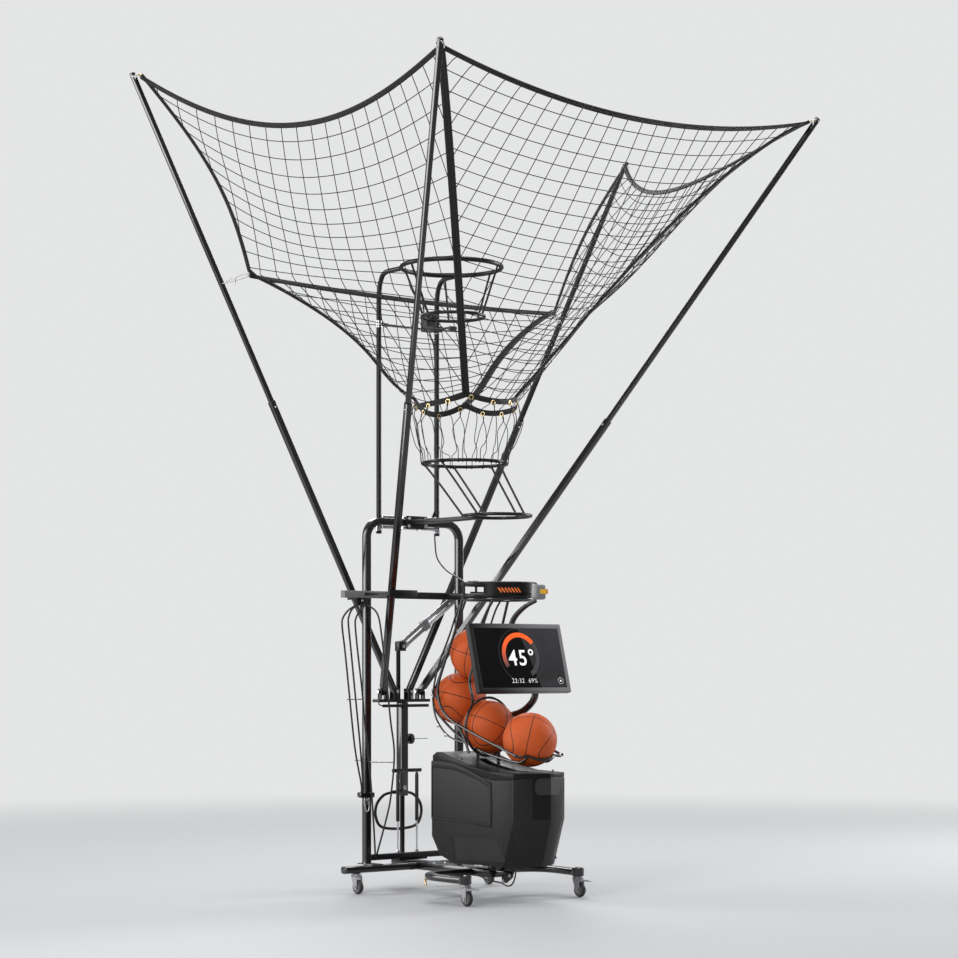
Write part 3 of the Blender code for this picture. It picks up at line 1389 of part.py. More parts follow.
SIDE_X = SIDE_RAIL_X + 0.004
chute_parts = []
for side in (-1, 1):
    for x, points, radius, sides in (
        (RAIL_X, support, RAIL_R, 6),
        (NEAR_X, near_rod, 0.0065, 6),
        (OUTER_X, outer_rod, 0.0045, 6),
        (SIDE_X, side_rail, 0.006, 6),
    ):
        path = [(side * x, point[-2], point[-1]) for point in points]
        chute_parts.append(tube(path, radius, sides, up=(1, 0, 0)))
chute_parts.append(tube(guard_wire, 0.0065, 6, up=(1, 0, 0)))
chute_parts.append(tube(guard_tube, 0.012, 8, up=(1, 0, 0)))
hoop_path = [
    (HOOP_R * math.cos(2 * math.pi * k / 24), HOOP_Y, HOOP_Z + HOOP_R * math.sin(2 * math.pi * k / 24))
    for k in range(24)
]
hoop = tube(hoop_path, 0.006, 6, closed=True, up=(0, 1, 0))
cradle_y, cradle_z = BALL_CENTRES[1]
saddle_path = []
for k in range(11):
    angle = math.radians(-90 + 18 * k)
    out = HOOP_R * math.cos(angle)
    saddle_path.append((HOOP_R * math.sin(angle), cradle_y + out * math.cos(math.radians(30)), cradle_z + out * 0.5))
saddle = tube(saddle_path, 0.0055, 6, up=(0, 0.5, -0.866))
LOOP_OUT = BALL_R + RAIL_R + 0.0025
front_points = []
for x in (-0.076, -0.040, 0.0, 0.040, 0.076):
    reach = math.sqrt(LOOP_OUT**2 - x**2)
    front_points.append(
        (
            x,
            BALL_CENTRES[3][0] + reach * math.cos(math.radians(-138)),
            BALL_CENTRES[3][1] + reach * math.sin(math.radians(-138)),
        )
    )
loop_left = [(-SIDE_X, -0.172, 0.6555), (-0.114, -0.192, 0.648)]
loop_right = [(0.114, -0.192, 0.648), (SIDE_X, -0.172, 0.6555)]
front_loop = tube(smooth_path(loop_left + front_points + loop_right, 2), 0.006, 6)
screen_rod = rod((-0.082, *SCREEN_PIVOT), (0.082, *SCREEN_PIVOT), SCREEN_PIN_R, 12)
rod_ends = [
    tube([(side * 0.078, *SCREEN_PIVOT), (side * GUARD_X, y, SCREEN_PIVOT[1])], 0.0065, 8)
    for side, y in ((-1, 0.1295), (1, 0.113))
]
top_hoop = ring((0, BASKET_Y, CHUTE_TOP_Z), BASKET_R, RAIL_R)
FOOT_X = 0.060
feet = [rod((side * FOOT_X, HOOP_Y, 0.6142), (side * FOOT_X, HOOP_Y, 0.658), 0.008, 10) for side in (-1, 1)]
chute = join(top_hoop, *chute_parts, saddle, hoop, front_loop, screen_rod, *rod_ends, *feet)
piece("chute_rails", chute, "gloss_black", (0, PAN_Y, CHUTE_TOP_Z))

# Balls waiting in the chute, turned about X so that their corners meet the rails
BALL_SIDES = 18
ball_steps = (0, 20, 38.5, 64, 90)


def make_ball(number, y, z, contact_degrees):
    """A ball whose rings of corners stand at the rails, one corner of each facing the contact."""
    points, faces = [], []
    levels = [-a for a in ball_steps[:0:-1]] + list(ball_steps)
    rings = levels[1:-1]
    for degrees in rings:
        x = BALL_R * math.sin(math.radians(degrees))
        reach = BALL_R * math.cos(math.radians(degrees))
        for k in range(BALL_SIDES):
            angle = 2 * math.pi * k / BALL_SIDES + math.radians(contact_degrees)
            points.append((x, y + reach * math.cos(angle), z + reach * math.sin(angle)))
    for i in range(len(rings) - 1):
        for k in range(BALL_SIDES):
            m = (k + 1) % BALL_SIDES
            a, b = i * BALL_SIDES, (i + 1) * BALL_SIDES
            faces.append((a + k, a + m, b + m, b + k))
    last = len(points)
    points += [(-BALL_R, y, z), (BALL_R, y, z)]
    top = (len(rings) - 1) * BALL_SIDES
    for k in range(BALL_SIDES):
        m = (k + 1) % BALL_SIDES
        faces += [(k, m, last), (top + k, top + m, last + 1)]
    piece("ball_%d" % number, mesh_from(points, faces), "ball_rubber", (0, y, z), True)


for number, (y, z) in enumerate(BALL_CENTRES, 1):
    make_ball(number, y, z, BALL_CONTACTS[number - 1])

# Screen
tilt = Matrix.Rotation(math.radians(-SCREEN_TILT), 3, "X")
face_out = Vector((0, -math.cos(math.radians(SCREEN_TILT)), math.sin(math.radians(SCREEN_TILT))))
screen_front = Vector((0, *SCREEN_CENTRE))
screen_middle = screen_front - face_out * (SCREEN_T / 2)
frame_box = box(screen_middle, (SCREEN_W, SCREEN_T, SCREEN_H), tilt, bevel=0.004)
glass_w, glass_h = SCREEN_W - 2 * SCREEN_BEZEL, SCREEN_H - 2 * SCREEN_BEZEL
pocket_depth = 0.006
glass_pocket = box(screen_front, (glass_w, 2 * pocket_depth, glass_h), tilt)
down_face = Vector((0, -math.sin(math.radians(SCREEN_TILT)), -math.cos(math.radians(SCREEN_TILT))))
button_at = screen_front + Vector((glass_w / 2 - BUTTON_IN, 0, 0)) + down_face * (glass_h / 2 - BUTTON_IN + 0.002)
button_hole = rod(button_at + face_out * 0.01, button_at - face_out * 0.01, BUTTON_R + 0.0005, 20)
arm_block = box((0, 0.037, 1.0715), (0.060, 0.122, 0.030), bevel=0.002)
pin_hole = rod((-0.05, *SCREEN_PIVOT), (0.05, *SCREEN_PIVOT), SCREEN_PIN_R + SLIDE_FIT, 12)
back_bulge = box(screen_middle - face_out * 0.020, (0.300, 0.020, 0.180), tilt, bevel=0.004)
frame = cut(join(frame_box, back_bulge, arm_block), glass_pocket, pin_hole)
piece("screen_housing", frame, "grey_plastic", (0, *SCREEN_PIVOT))
glass = box(screen_front - face_out * 0.0035, (glass_w - 2 * CLEAR, 0.0044, glass_h - 2 * CLEAR), tilt)
piece("screen_glass", cut(glass, button_hole), "screen_glass", (0, *SCREEN_PIVOT))
button = rod(button_at - face_out * 0.0006, button_at - face_out * 0.0040, BUTTON_R, 20)
piece("screen_button", button, "grey_plastic", button_at)

bpy.context.view_layer.update()
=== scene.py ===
"""Looks of the basketball shooting machine: coated tubes, knotted net, ball chute, screen and launcher.

Metres, Z up, front towards -Y. Shapes are drawn in the part's own drawing frame, which lies CENTRE_Y
behind the world's, and are moved once when a piece is made.
"""

import math

import bmesh
import bpy
import numpy as np
from mathutils import Euler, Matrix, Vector


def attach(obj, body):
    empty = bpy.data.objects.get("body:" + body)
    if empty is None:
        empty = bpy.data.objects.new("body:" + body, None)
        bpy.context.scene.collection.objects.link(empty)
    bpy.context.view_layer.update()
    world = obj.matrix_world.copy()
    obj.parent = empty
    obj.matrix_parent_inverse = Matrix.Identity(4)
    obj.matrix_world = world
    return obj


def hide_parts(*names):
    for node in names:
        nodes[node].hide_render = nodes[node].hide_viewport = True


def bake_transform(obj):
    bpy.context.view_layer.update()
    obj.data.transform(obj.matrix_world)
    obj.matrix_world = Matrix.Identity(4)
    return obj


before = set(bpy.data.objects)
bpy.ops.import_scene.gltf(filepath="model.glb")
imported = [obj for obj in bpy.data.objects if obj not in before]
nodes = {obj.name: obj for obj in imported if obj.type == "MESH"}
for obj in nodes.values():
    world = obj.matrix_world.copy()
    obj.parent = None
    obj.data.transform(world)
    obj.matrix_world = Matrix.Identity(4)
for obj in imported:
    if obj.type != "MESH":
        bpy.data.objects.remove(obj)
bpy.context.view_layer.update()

scene = bpy.context.scene
CENTRE_Y = 0.00331
TAU = 2 * np.pi


# Numbers and curves

def unit(vectors):
    """Each vector divided by its own length."""
    vectors = np.asarray(vectors, float)
    return vectors / np.maximum(np.linalg.norm(vectors, axis=-1, keepdims=True), 1e-12)


def through(points, steps=8, closed=False):
    """A curve through every point: between two points the cubic whose slope at each is half the step
    from the point before it to the point after it."""
    p = np.asarray(points, float)
    if closed:
        a, b, c, d = np.roll(p, 1, 0), p, np.roll(p, -1, 0), np.roll(p, -2, 0)
    else:
        full = np.vstack([2 * p[0] - p[1], p, 2 * p[-1] - p[-2]])
        a, b, c, d = full[:-3], full[1:-2], full[2:-1], full[3:]
    t = (np.arange(steps) / steps)[None, :, None]
    a, b, c, d = (v[:, None, :] for v in (a, b, c, d))
    squared, cubed = 2 * a - 5 * b + 4 * c - d, 3 * b - a - 3 * c + d
    curve = (0.5 * (2 * b + (c - a) * t + squared * t**2 + cubed * t**3)).reshape(-1, p.shape[1])
    return curve if closed else np.vstack([curve, p[-1]])


def bent(points, steps=6):
    """A bent rod's line: each corner is a parabola from the middle of one straight run to the next one's."""
    p = np.asarray(points, float)
    mids = (p[:-1] + p[1:]) / 2
    t = (np.arange(steps) / steps)[None, :, None]
    a, b, c = (v[:, None, :] for v in (mids[:-1], p[1:-1], mids[1:]))
    arcs = (a * (1 - t) ** 2 + 2 * b * t * (1 - t) + c * t**2).reshape(-1, 3)
    return np.vstack([p[:1], arcs, mids[-1:], p[-1:]])


def circle(radius, sides=12):
    """An outline whose points lie at one radius, evenly turned."""
    angle = TAU * (np.arange(sides) + 0.5) / sides
    return radius * np.stack([np.cos(angle), np.sin(angle)], -1)


def oblong(width, height, corner, steps=4):
    """A rectangle's outline with quarter circles at its corners."""
    turn = np.linspace(0, np.pi / 2, steps + 1)[None, :] + np.pi / 2 * np.arange(4)[:, None]
    mid = np.array([(1, 1), (-1, 1), (-1, -1), (1, -1)]) * (np.array([width, height]) / 2 - corner)
    return (mid[:, None] + corner * np.stack([np.cos(turn), np.sin(turn)], -1)).reshape(-1, 2)


def rounded(outline, radius, steps=4):
    """An outline with each corner replaced by a parabola that starts and ends at radius from the corner."""
    p = np.asarray(outline, float)
    into, out = unit(np.roll(p, 1, 0) - p), unit(np.roll(p, -1, 0) - p)
    t = np.linspace(0, 1, steps + 1)[None, :, None]
    a, b, c = (p + into * radius)[:, None], p[:, None], (p + out * radius)[:, None]
    return (a * (1 - t) ** 2 + 2 * b * t * (1 - t) + c * t**2).reshape(-1, 2)


def hoop_line(centre, radius, count=72, across=(1, 0, 0), onward=(0, 1, 0)):
    """A full turn about a centre in the plane of two directions; the first point isn't repeated."""
    angle = TAU * np.arange(count)[:, None] / count
    turned = np.cos(angle) * np.asarray(across) + np.sin(angle) * np.asarray(onward)
    return np.asarray(centre) + radius * turned


# Shapes: (points, faces, uv) with uv in metres

def surface(points, uv):
    """A grid of points as quads between neighbouring rows and columns."""
    rows, columns = points.shape[:2]
    i, j = np.meshgrid(np.arange(rows - 1), np.arange(columns - 1), indexing="ij")
    a = i * columns + j
    faces = np.stack([a, a + 1, a + columns + 1, a + columns], -1).reshape(-1, 4)
    return points.reshape(-1, 3), [tuple(f) for f in faces.tolist()], uv.reshape(-1, 2)


def lengths(points, axis):
    """Distance run along one axis of a grid of points, from 0."""
    step = np.linalg.norm(np.diff(points, axis=axis), axis=-1)
    start = np.zeros_like(np.take(step, [0], axis=axis))
    return np.concatenate([start, np.cumsum(step, axis=axis)], axis=axis)


def laid(points):
    """A grid of points as a surface whose uv is the distance run along its columns and rows."""
    return surface(points, np.stack([lengths(points, 1), lengths(points, 0)], -1))


def sweep(path, outline, up=(0, 0, 1), closed=False, scale=1.0):
    """An outline carried along a path: at each point its first number runs across the path and up, its
    second towards up. Ends close on the path's own point."""
    path = np.asarray(path, float)
    slope = np.roll(path, -1, 0) - np.roll(path, 1, 0) if closed else np.gradient(path, axis=0)
    along = unit(slope)
    across = unit(np.cross(along, np.broadcast_to(np.asarray(up, float), path.shape)))
    rise = np.cross(across, along)
    loop = np.vstack([outline, outline[:1]])[None]
    size = np.broadcast_to(np.asarray(scale, float), (len(path),))[:, None, None]
    rings = path[:, None] + size * (loop[..., :1] * across[:, None] + loop[..., 1:] * rise[:, None])
    if closed:
        rings = np.concatenate([rings, rings[:1]])
    else:
        first, last = (np.repeat(p[None, None], loop.shape[1], 1) for p in (path[0], path[-1]))
        rings = np.concatenate([first, rings, last])
    return laid(rings)


def tube(path, radius, sides=12, up=(0, 0, 1), closed=False, scale=1.0):
    """A round rod along a path."""
    return sweep(path, circle(radius, sides), up, closed, scale)


def rod(start, end, radius, end_radius=None, sides=16, edge=0.0008):
    """A straight round bar whose end edges are cut back a little, tapering from one radius to the other."""
    start, end = np.asarray(start, float), np.asarray(end, float)
    length = np.linalg.norm(end - start)
    other = radius if end_radius is None else end_radius
    profile = [(0, 0), (radius - edge, 0), (radius, edge), (other, length - edge), (other - edge, length),
               (0, length)]
    return lathe(profile, start, end - start, sides)


def lathe(profile, start, direction, sides=32):
    """A profile of (radius, height) turned about the line from start along direction."""
    profile = np.asarray(profile, float)
    axis = unit(np.asarray(direction, float))
    helper = np.array([0, 0, 1.0]) if abs(axis[2]) < 0.9 else np.array([1.0, 0, 0])
    a = unit(np.cross(helper, axis))
    b = np.cross(axis, a)
    turn = TAU * np.arange(sides + 1)[None, :, None] / sides
    points = np.asarray(start, float) + profile[:, 1][:, None, None] * axis + profile[:, 0][:, None,
            None] * (
        np.cos(turn) * a + np.sin(turn) * b
    )
    return laid(points)


def ring(inner, outer, low, high, place, direction, sides=24):
    """A ring of rectangular section about a line, from low to high along it; a disc if inner is 0."""
    return lathe([(inner, low), (outer, low), (outer, high), (inner, high)], place, direction, sides)


def block(centre, size, edge=0.002, turn=None, steps=2):
    """A rounded box: a small ball's surface whose eight octants are pulled apart to the box's corners."""
    half = np.asarray(size, float) / 2 - edge
    quarter = np.linspace(0, np.pi / 2, steps + 1)
    theta = np.concatenate([quarter + q * np.pi / 2 for q in range(4)] + [[TAU]])
    sign_x = np.repeat([1, -1, -1, 1], steps + 1).tolist() + [1]
    sign_y = np.repeat([1, 1, -1, -1], steps + 1).tolist() + [1]
    phi = np.concatenate([quarter - np.pi / 2, quarter])
    sign_z = np.repeat([-1, 1], steps + 1)
    cos_p, sin_p = np.cos(phi)[:, None], np.sin(phi)[:, None]
    ball = np.stack([cos_p * np.cos(theta), cos_p * np.sin(theta), sin_p + 0 * theta], -1) * edge
    signs = np.stack(np.broadcast_arrays(np.array(sign_x)[None], np.array(sign_y)[None], sign_z[:, None]),
                     -1)
    points = ball + signs * half
    low, high = points[:1] * [0, 0, 1], points[-1:] * [0, 0, 1]
    points = np.concatenate([low, points, high])
    if turn is not None:
        points = points @ np.array(turn).T
    points = points + np.asarray(centre, float)
    return laid(points)


def plate(outline, low, high, origin=(0, 0, 0), right=(1, 0, 0), up=(0, 1, 0), edge=0.0):
    """A flat outline given thickness from low to high along right x up, with its rims cut back by edge."""
    p = np.asarray(outline, float)
    into, out = unit(p - np.roll(p, 1, 0)), unit(np.roll(p, -1, 0) - p)
    area = np.sum(p[:, 0] * np.roll(p[:, 1], -1) - np.roll(p[:, 0], -1) * p[:, 1])
    lean = unit(into + out)
    inward = np.stack([-lean[:, 1], lean[:, 0]], -1) * np.sign(area)
    rings = [(edge, low), (0, low + edge), (0, high - edge), (edge, high)] if edge else [(0, low),
            (0, high)]
    right, up = np.asarray(right, float), np.asarray(up, float)
    normal = np.cross(right, up)
    levels = []
    for inset, height in rings:
        flat = p + inward * inset
        levels.append(np.asarray(origin) + flat[:, :1] * right + flat[:, 1:] * up + height * normal)
    count = len(p)
    points = np.concatenate(levels)
    faces = [
        (r * count + k, r * count + (k + 1) % count, (r + 1) * count + (k + 1) % count, (r + 1) * count + k)
        for r in range(len(rings) - 1)
        for k in range(count)
    ]
    faces += [tuple(range(count)), tuple(range((len(rings) - 1) * count, len(rings) * count))]
    return points, faces, np.concatenate([p] * len(rings))


def frame_plate(outer, inner, low, high, origin, right, up):
    """A flat ring between two outlines of as many points, given thickness, its section a rectangle."""
    outer, inner = np.asarray(outer, float), np.asarray(inner, float)
    right, up = np.asarray(right, float), np.asarray(up, float)
    normal = np.cross(right, up)
    rings = [(outer, low), (outer, high * 0.6 + low * 0.4), (outer * 0.85 + inner * 0.15, high),
             (outer * 0.15 + inner * 0.85, high), (inner, high * 0.6 + low * 0.4), (inner, low),
             (outer, low)]
    grid = np.stack([np.asarray(origin) + o[:, :1] * right + o[:, 1:] * up + h * normal for o, h in rings])
    grid = np.concatenate([grid, grid[:, :1]], 1)
    return laid(grid)


def bolt(place, direction, radius=0.006, height=0.004, washer=True):
    """A domed screw head with a hex socket's shadow ring, on a thin washer."""
    dome = np.linspace(0, np.pi / 2, 5)
    profile = []
    if washer:
        profile += [(0, 0), (radius * 1.5, 0), (radius * 1.5, 0.001), (radius, 0.0012)]
    else:
        profile += [(0, 0), (radius, 0)]
    profile += [(radius * (0.55 + 0.45 * math.cos(a)),
                 0.0012 + height * (0.55 + 0.45 * math.sin(a))) for a in dome]
    profile += [(radius * 0.5, 0.0012 + height), (radius * 0.42, 0.0012 + height * 0.45),
                (0, 0.0012 + height * 0.45)]
    return lathe(profile, place, direction, 14)


def hexagon_nut(place, direction, radius=0.008, height=0.006):
    """A six-sided nut with a round hole's rim."""
    profile = [(0, 0), (radius, 0), (radius, height * 0.8), (radius * 0.9, height), (radius * 0.5, height),
               (0, height * 0.9)]
    return lathe(profile, place, direction, 6)


# Pieces

def make_piece(name, shapes, material, body, replaces=(), smooth=38, parts=None, outward=True):
    """One named piece from shapes: joined, moved into the world's frame, its seams welded, its faces turned
    outwards and its creases kept sharp above the smooth angle."""
    if isinstance(shapes, tuple):
        shapes = [shapes]
    points, faces, uvs, which, start = [], [], [], [], 0
    for index, (p, f, uv) in enumerate(shapes):
        points.append(p)
        uvs.append(uv)
        faces += [tuple(k + start for k in face) for face in f]
        which += [parts[index] if parts else 0] * len(f)
        start += len(p)
    points = np.concatenate(points) - [0, CENTRE_Y, 0]
    uvs = np.concatenate(uvs)
    mesh = bpy.data.meshes.new(name)
    mesh.from_pydata(points.tolist(), [], faces)
    corner = np.empty(len(mesh.loops), np.int32)
    mesh.loops.foreach_get("vertex_index", corner)
    layer = mesh.uv_layers.new(name="UVMap")
    layer.data.foreach_set("uv", uvs[corner].astype(np.float32).ravel())
    mesh.polygons.foreach_set("material_index", np.array(which, np.int32))
    welded = bmesh.new()
    welded.from_mesh(mesh)
    bmesh.ops.remove_doubles(welded, verts=welded.verts, dist=2e-6)
    if outward:
        bmesh.ops.recalc_face_normals(welded, faces=welded.faces)
    welded.to_mesh(mesh)
    welded.free()
    return finish_piece(name, mesh, material, body, replaces, smooth)


def finish_piece(name, mesh, material, body, replaces=(), smooth=38):
    """A mesh made a piece: its shading, materials, body and the nodes it replaces; given no body's name, it
    stays fixed where it lies.
    """
    mesh.polygons.foreach_set("use_smooth", np.ones(len(mesh.polygons), bool))
    mesh.set_sharp_from_angle(angle=math.radians(smooth))
    for one in material if isinstance(material, (list, tuple)) else [material]:
        mesh.materials.append(one)
    piece = bpy.data.objects.new(name, mesh)
    scene.collection.objects.link(piece)
    if isinstance(body, str):
        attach(piece, body)
    else:
        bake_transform(piece)
    if replaces:
        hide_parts(*([replaces] if isinstance(replaces, str) else replaces))
    return piece


def eased(node, material, body, width=0.0015, segments=2):
    """A frame node's own solid with its flat faces joined up and its edges rounded by width."""
    mesh = nodes[node].data.copy()
    mesh.materials.clear()
    shape = bmesh.new()
    shape.from_mesh(mesh)
    bmesh.ops.remove_doubles(shape, verts=shape.verts, dist=1e-5)
    bmesh.ops.dissolve_limit(shape, angle_limit=math.radians(0.6), verts=shape.verts, edges=shape.edges)
    shape.to_mesh(mesh)
    shape.free()
    work = bpy.data.objects.new("easing", mesh)
    scene.collection.objects.link(work)
    rim = work.modifiers.new("rim", "BEVEL")
    rim.width, rim.segments, rim.limit_method, rim.angle_limit = width, segments, "ANGLE", math.radians(25)
    rim.use_clamp_overlap = True
    bpy.context.view_layer.update()
    made = bpy.data.meshes.new_from_object(work.evaluated_get(bpy.context.evaluated_depsgraph_get()))
    bpy.data.objects.remove(work)
    made.name = node + "_finished"
    return finish_piece(made.name, made, material, body, node)


# Materials

def fill(tree, node, feeds):
    """Sets a node's inputs: a socket is linked, and anything else becomes the input's own value."""
    for spot, value in dict(feeds).items():
        socket = node.inputs[spot]
        if isinstance(value, bpy.types.NodeSocket):
            tree.links.new(value, socket)
        else:
            socket.default_value = (*value, 1) if socket.type == "RGBA" and len(value) == 3 else value


def makers(tree):
    """Four makers of nodes in a tree. add takes a kind, what its inputs get and its settings, and returns
    its outputs; calc is a Math node, mix a blend of two colours and relief a bump, each with one output."""

    def add(kind, feeds=(), **settings):
        node = tree.nodes.new(kind if kind.startswith("NodeGroup") else "ShaderNode" + kind)
        for key, value in settings.items():
            setattr(node, key, value)
        fill(tree, node, feeds)
        return node.outputs

    def calc(operation, *values):
        return add("Math", enumerate(values), operation=operation)[0]

    def mix(share, low, high):
        return add("Mix", {"Factor": share, 6: low, 7: high}, data_type="RGBA")[2]

    def relief(strength, distance, height):
        return add("Bump", {"Strength": strength, "Distance": distance, "Height": height})[0]

    return add, calc, mix, relief


COLOUR, DIRECTION = (0.0, 0.0, 0.0, 1.0), (0.0, 0.0, 0.0)
SOCKETS = {"Color": "NodeSocketColor", "Roughness": "NodeSocketFloat", "Normal": "NodeSocketVector"}


def effect(name, inputs, build):
    """A node group that gives out a colour, a roughness and a normal. Its inputs are named with what they
    hold at first, and build makes its nodes from them."""
    group = bpy.data.node_groups.new(name, "ShaderNodeTree")
    for label, value in inputs.items():
        kind = "Float" if isinstance(value, float) else "Color" if len(value) == 4 else "Vector"
        socket = group.interface.new_socket(name=label, in_out="INPUT", socket_type="NodeSocket" + kind)
        socket.default_value = value
    add, *others = makers(group)
    made = build(add("NodeGroupInput"), add, *others)
    for label in made:
        group.interface.new_socket(name=label, in_out="OUTPUT", socket_type=SOCKETS[label])
    fill(group, group.nodes.new("NodeGroupOutput"), made)
    return group


def coated_skin(given, add, calc, mix, relief):
    """Coated or moulded skin: slow tone changes, fine orange peel, and dust on faces that look up."""
    place = add("TexCoord")["Object"]
    slow = add("TexNoise", {"Vector": place, "Scale": 5.0, "Detail": 4.0, "Roughness": 0.6})["Fac"]
    peel = add("TexNoise", {"Vector": place, "Scale": given["Peel Scale"], "Detail": 2.0,
                            "Roughness": 0.55})["Fac"]
    facing = add("SeparateXYZ", {0: add("NewGeometry")["Normal"]})["Z"]
    upward = add("MapRange", {0: facing, 1: 0.55, 2: 1.0})[0]
    specks = add("MapRange", {0: slow, 1: 0.42, 2: 0.68})[0]
    share = calc("MULTIPLY", calc("MULTIPLY", upward, specks), given["Dust"])
    drift = add("MapRange", {0: slow, 1: 0.3, 2: 0.7, 3: 0.82, 4: 1.16})[0]
    tone = mix(share, given["Tone"], given["Dust Tone"])
    swing = calc("MULTIPLY_ADD", calc("SUBTRACT", slow, 0.5), given["Spread"], given["Roughness"])
    return {"Color": add("VectorMath", {0: tone, "Scale": drift}, operation="SCALE")[0],
            "Roughness": calc("MULTIPLY_ADD", share, 0.25, swing),
            "Normal": relief(given["Peel Depth"], 0.0006, peel)}


def plated_steel(given, add, calc, mix, relief):
    """Plated steel: fine scratches in one direction and cloudy plating."""
    place = add("TexCoord")["Object"]
    stretched = add("VectorMath", {0: place, 1: given["Grain"]}, operation="MULTIPLY")[0]
    lines = add("TexNoise", {"Vector": stretched, "Scale": 1.0, "Detail": 3.0})["Fac"]
    cloud = add("TexNoise", {"Vector": place, "Scale": 28.0, "Detail": 4.0, "Roughness": 0.65})["Fac"]
    return {"Color": mix(cloud, given["Tone"], given["Dull Tone"]),
            "Roughness": calc("MULTIPLY_ADD", lines, 0.18, given["Roughness"]),
            "Normal": relief(given["Depth"], 0.0004, lines)}


def woven_thread(given, add, calc, mix, relief):
    """Woven tape or laid cord on the piece's own UV in metres: ribs both ways, threads darker between."""
    across, along, _ = add("SeparateXYZ", {0: add("TexCoord")["UV"]})

    def ridge(slope):
        lean = calc("MULTIPLY_ADD", across, calc("MULTIPLY", given["Slant"], slope), along)
        return calc("SINE", calc("MULTIPLY", lean, given["Thread"]))

    crowns = calc("MULTIPLY_ADD", calc("MAXIMUM", ridge(1.0), ridge(-1.0)), 0.45, 0.5)
    return {"Color": mix(crowns, given["Gap Tone"], given["Tone"]),
            "Normal": relief(given["Depth"], 0.0008, crowns)}


def pebbled_skin(given, add, calc, mix, relief):
    """Pebbled or grained skin: round pebbles from cell distance, paler on their crowns and darker between
    them.
    """
    place = add("TexCoord")["Object"]
    cells = {"Vector": place, "Scale": given["Scale"], "Smoothness": 0.35}
    crown = add("MapRange", {0: add("TexVoronoi", cells, feature="SMOOTH_F1")["Distance"], 1: 0.65,
                             2: 0.15})[0]
    slow = add("TexNoise", {"Vector": place, "Scale": 14.0, "Detail": 5.0, "Roughness": 0.6})["Fac"]
    # Paler on the pebbles' crowns, darker between them, with slow blotches.
    crown_share = calc("MULTIPLY_ADD", crown, 0.5, calc("MULTIPLY", slow, 0.7))
    return {"Color": mix(crown_share, given["Low Tone"], given["Tone"]),
            "Roughness": calc("MULTIPLY_ADD", crown, -0.12, given["Roughness"]),
            "Normal": relief(given["Depth"], 0.0009, crown)}


COAT = effect("coated_skin", {"Tone": COLOUR, "Dust Tone": COLOUR, "Dust": 0.15, "Roughness": 0.3,
                              "Spread": 0.08,
                              "Peel Scale": 700.0, "Peel Depth": 0.05}, coated_skin)
STEEL = effect("plated_steel", {"Tone": COLOUR, "Dull Tone": COLOUR, "Roughness": 0.3, "Grain": DIRECTION,
                                "Depth": 0.08}, plated_steel)
WEAVE = effect("woven_thread", {"Tone": COLOUR, "Gap Tone": COLOUR, "Thread": 900.0, "Slant": 1.0,
                                "Depth": 0.6},
               woven_thread)
PEBBLE = effect("pebbled_skin", {"Tone": COLOUR, "Low Tone": COLOUR, "Scale": 330.0, "Depth": 0.5,
                                 "Roughness": 0.5}, pebbled_skin)


def principled(name, roughness=0.5, metallic=0.0, coat=0.0, sheen=0.0, specular=0.5):
    """A Principled material with these constants, dress to fill the shader's other inputs, and makers."""
    material = bpy.data.materials.new(name)
    material.use_nodes = True
    tree = material.node_tree

    def dress(feeds):
        fill(tree, tree.nodes["Principled BSDF"], feeds)

    dress({"Roughness": roughness, "Metallic": metallic, "Specular IOR Level": specular,
           "Coat Weight": coat,
           "Coat Roughness": 0.08, "Sheen Weight": sheen})
    return material, dress, *makers(tree)


def skinned(name, group, *values, **looks):
    """A Principled material fed by an effect group, whose inputs get the values in their order."""
    material, dress, add, *_ = principled(name, **looks)
    made = add("Group", enumerate(values), node_tree=group)
    dress({"Base Color" if socket.name == "Color" else socket.name: socket for socket in made})
    return material


# Coats: tone, dust's tone, dust, roughness and its spread, the peel's scale and depth
GLOSS = skinned("gloss_black_coat", COAT, (0.006, 0.006, 0.0065), (0.06, 0.059, 0.057), 0.06, 0.20, 0.10,
                160.0, 0.006, coat=0.4)
SATIN = skinned("satin_black_coat", COAT, (0.008, 0.008, 0.0085), (0.06, 0.059, 0.057), 0.08, 0.34, 0.14,
                900.0, 0.12, specular=0.3)
HOUSING = skinned("housing_grey_coat", COAT, (0.016, 0.016, 0.0168), (0.07, 0.089, 0.087), 0.06, 0.42,
                  0.12, 1300.0, 0.18, specular=0.14)
COVER = skinned("cover_black_plastic", COAT, (0.008, 0.008, 0.0084), (0.03, 0.03, 0.03), 0.0, 0.34, 0.12,
                1500.0, 0.20, specular=0.15)
PLASTIC = skinned("black_plastic_grain", COAT, (0.018, 0.018, 0.019), (0.10, 0.098, 0.095), 0.12, 0.48,
                  0.12, 1100.0, 0.35)
TIP_GREY = skinned("tip_housing_grey", COAT, (0.20, 0.20, 0.205), (0.30, 0.30, 0.29), 0.08, 0.36, 0.10,
                   1500.0, 0.14)
DARK_CAVITY = skinned("shadowed_recess", COAT, (0.006, 0.006, 0.006), (0.02, 0.02, 0.02), 0.05, 0.6, 0.05,
                      900.0, 0.05, specular=0.2)
HUB_PLASTIC = skinned("caster_hub_plastic", COAT, (0.16, 0.16, 0.165), (0.25, 0.25, 0.24), 0.10, 0.40, 0.1,
                      1200.0, 0.15)
RUBBER_CORD = skinned("cable_sheath", COAT, (0.013, 0.013, 0.014), (0.08, 0.08, 0.08), 0.08, 0.42, 0.1,
                      1500.0, 0.1)
ORANGE = skinned("orange_print", COAT, (0.78, 0.17, 0.03), (0.75, 0.35, 0.2), 0.05, 0.42, 0.1, 1200.0, 0.08)
YELLOW = skinned("yellow_print", COAT, (0.80, 0.46, 0.03), (0.75, 0.55, 0.3), 0.05, 0.42, 0.1, 1200.0, 0.08)

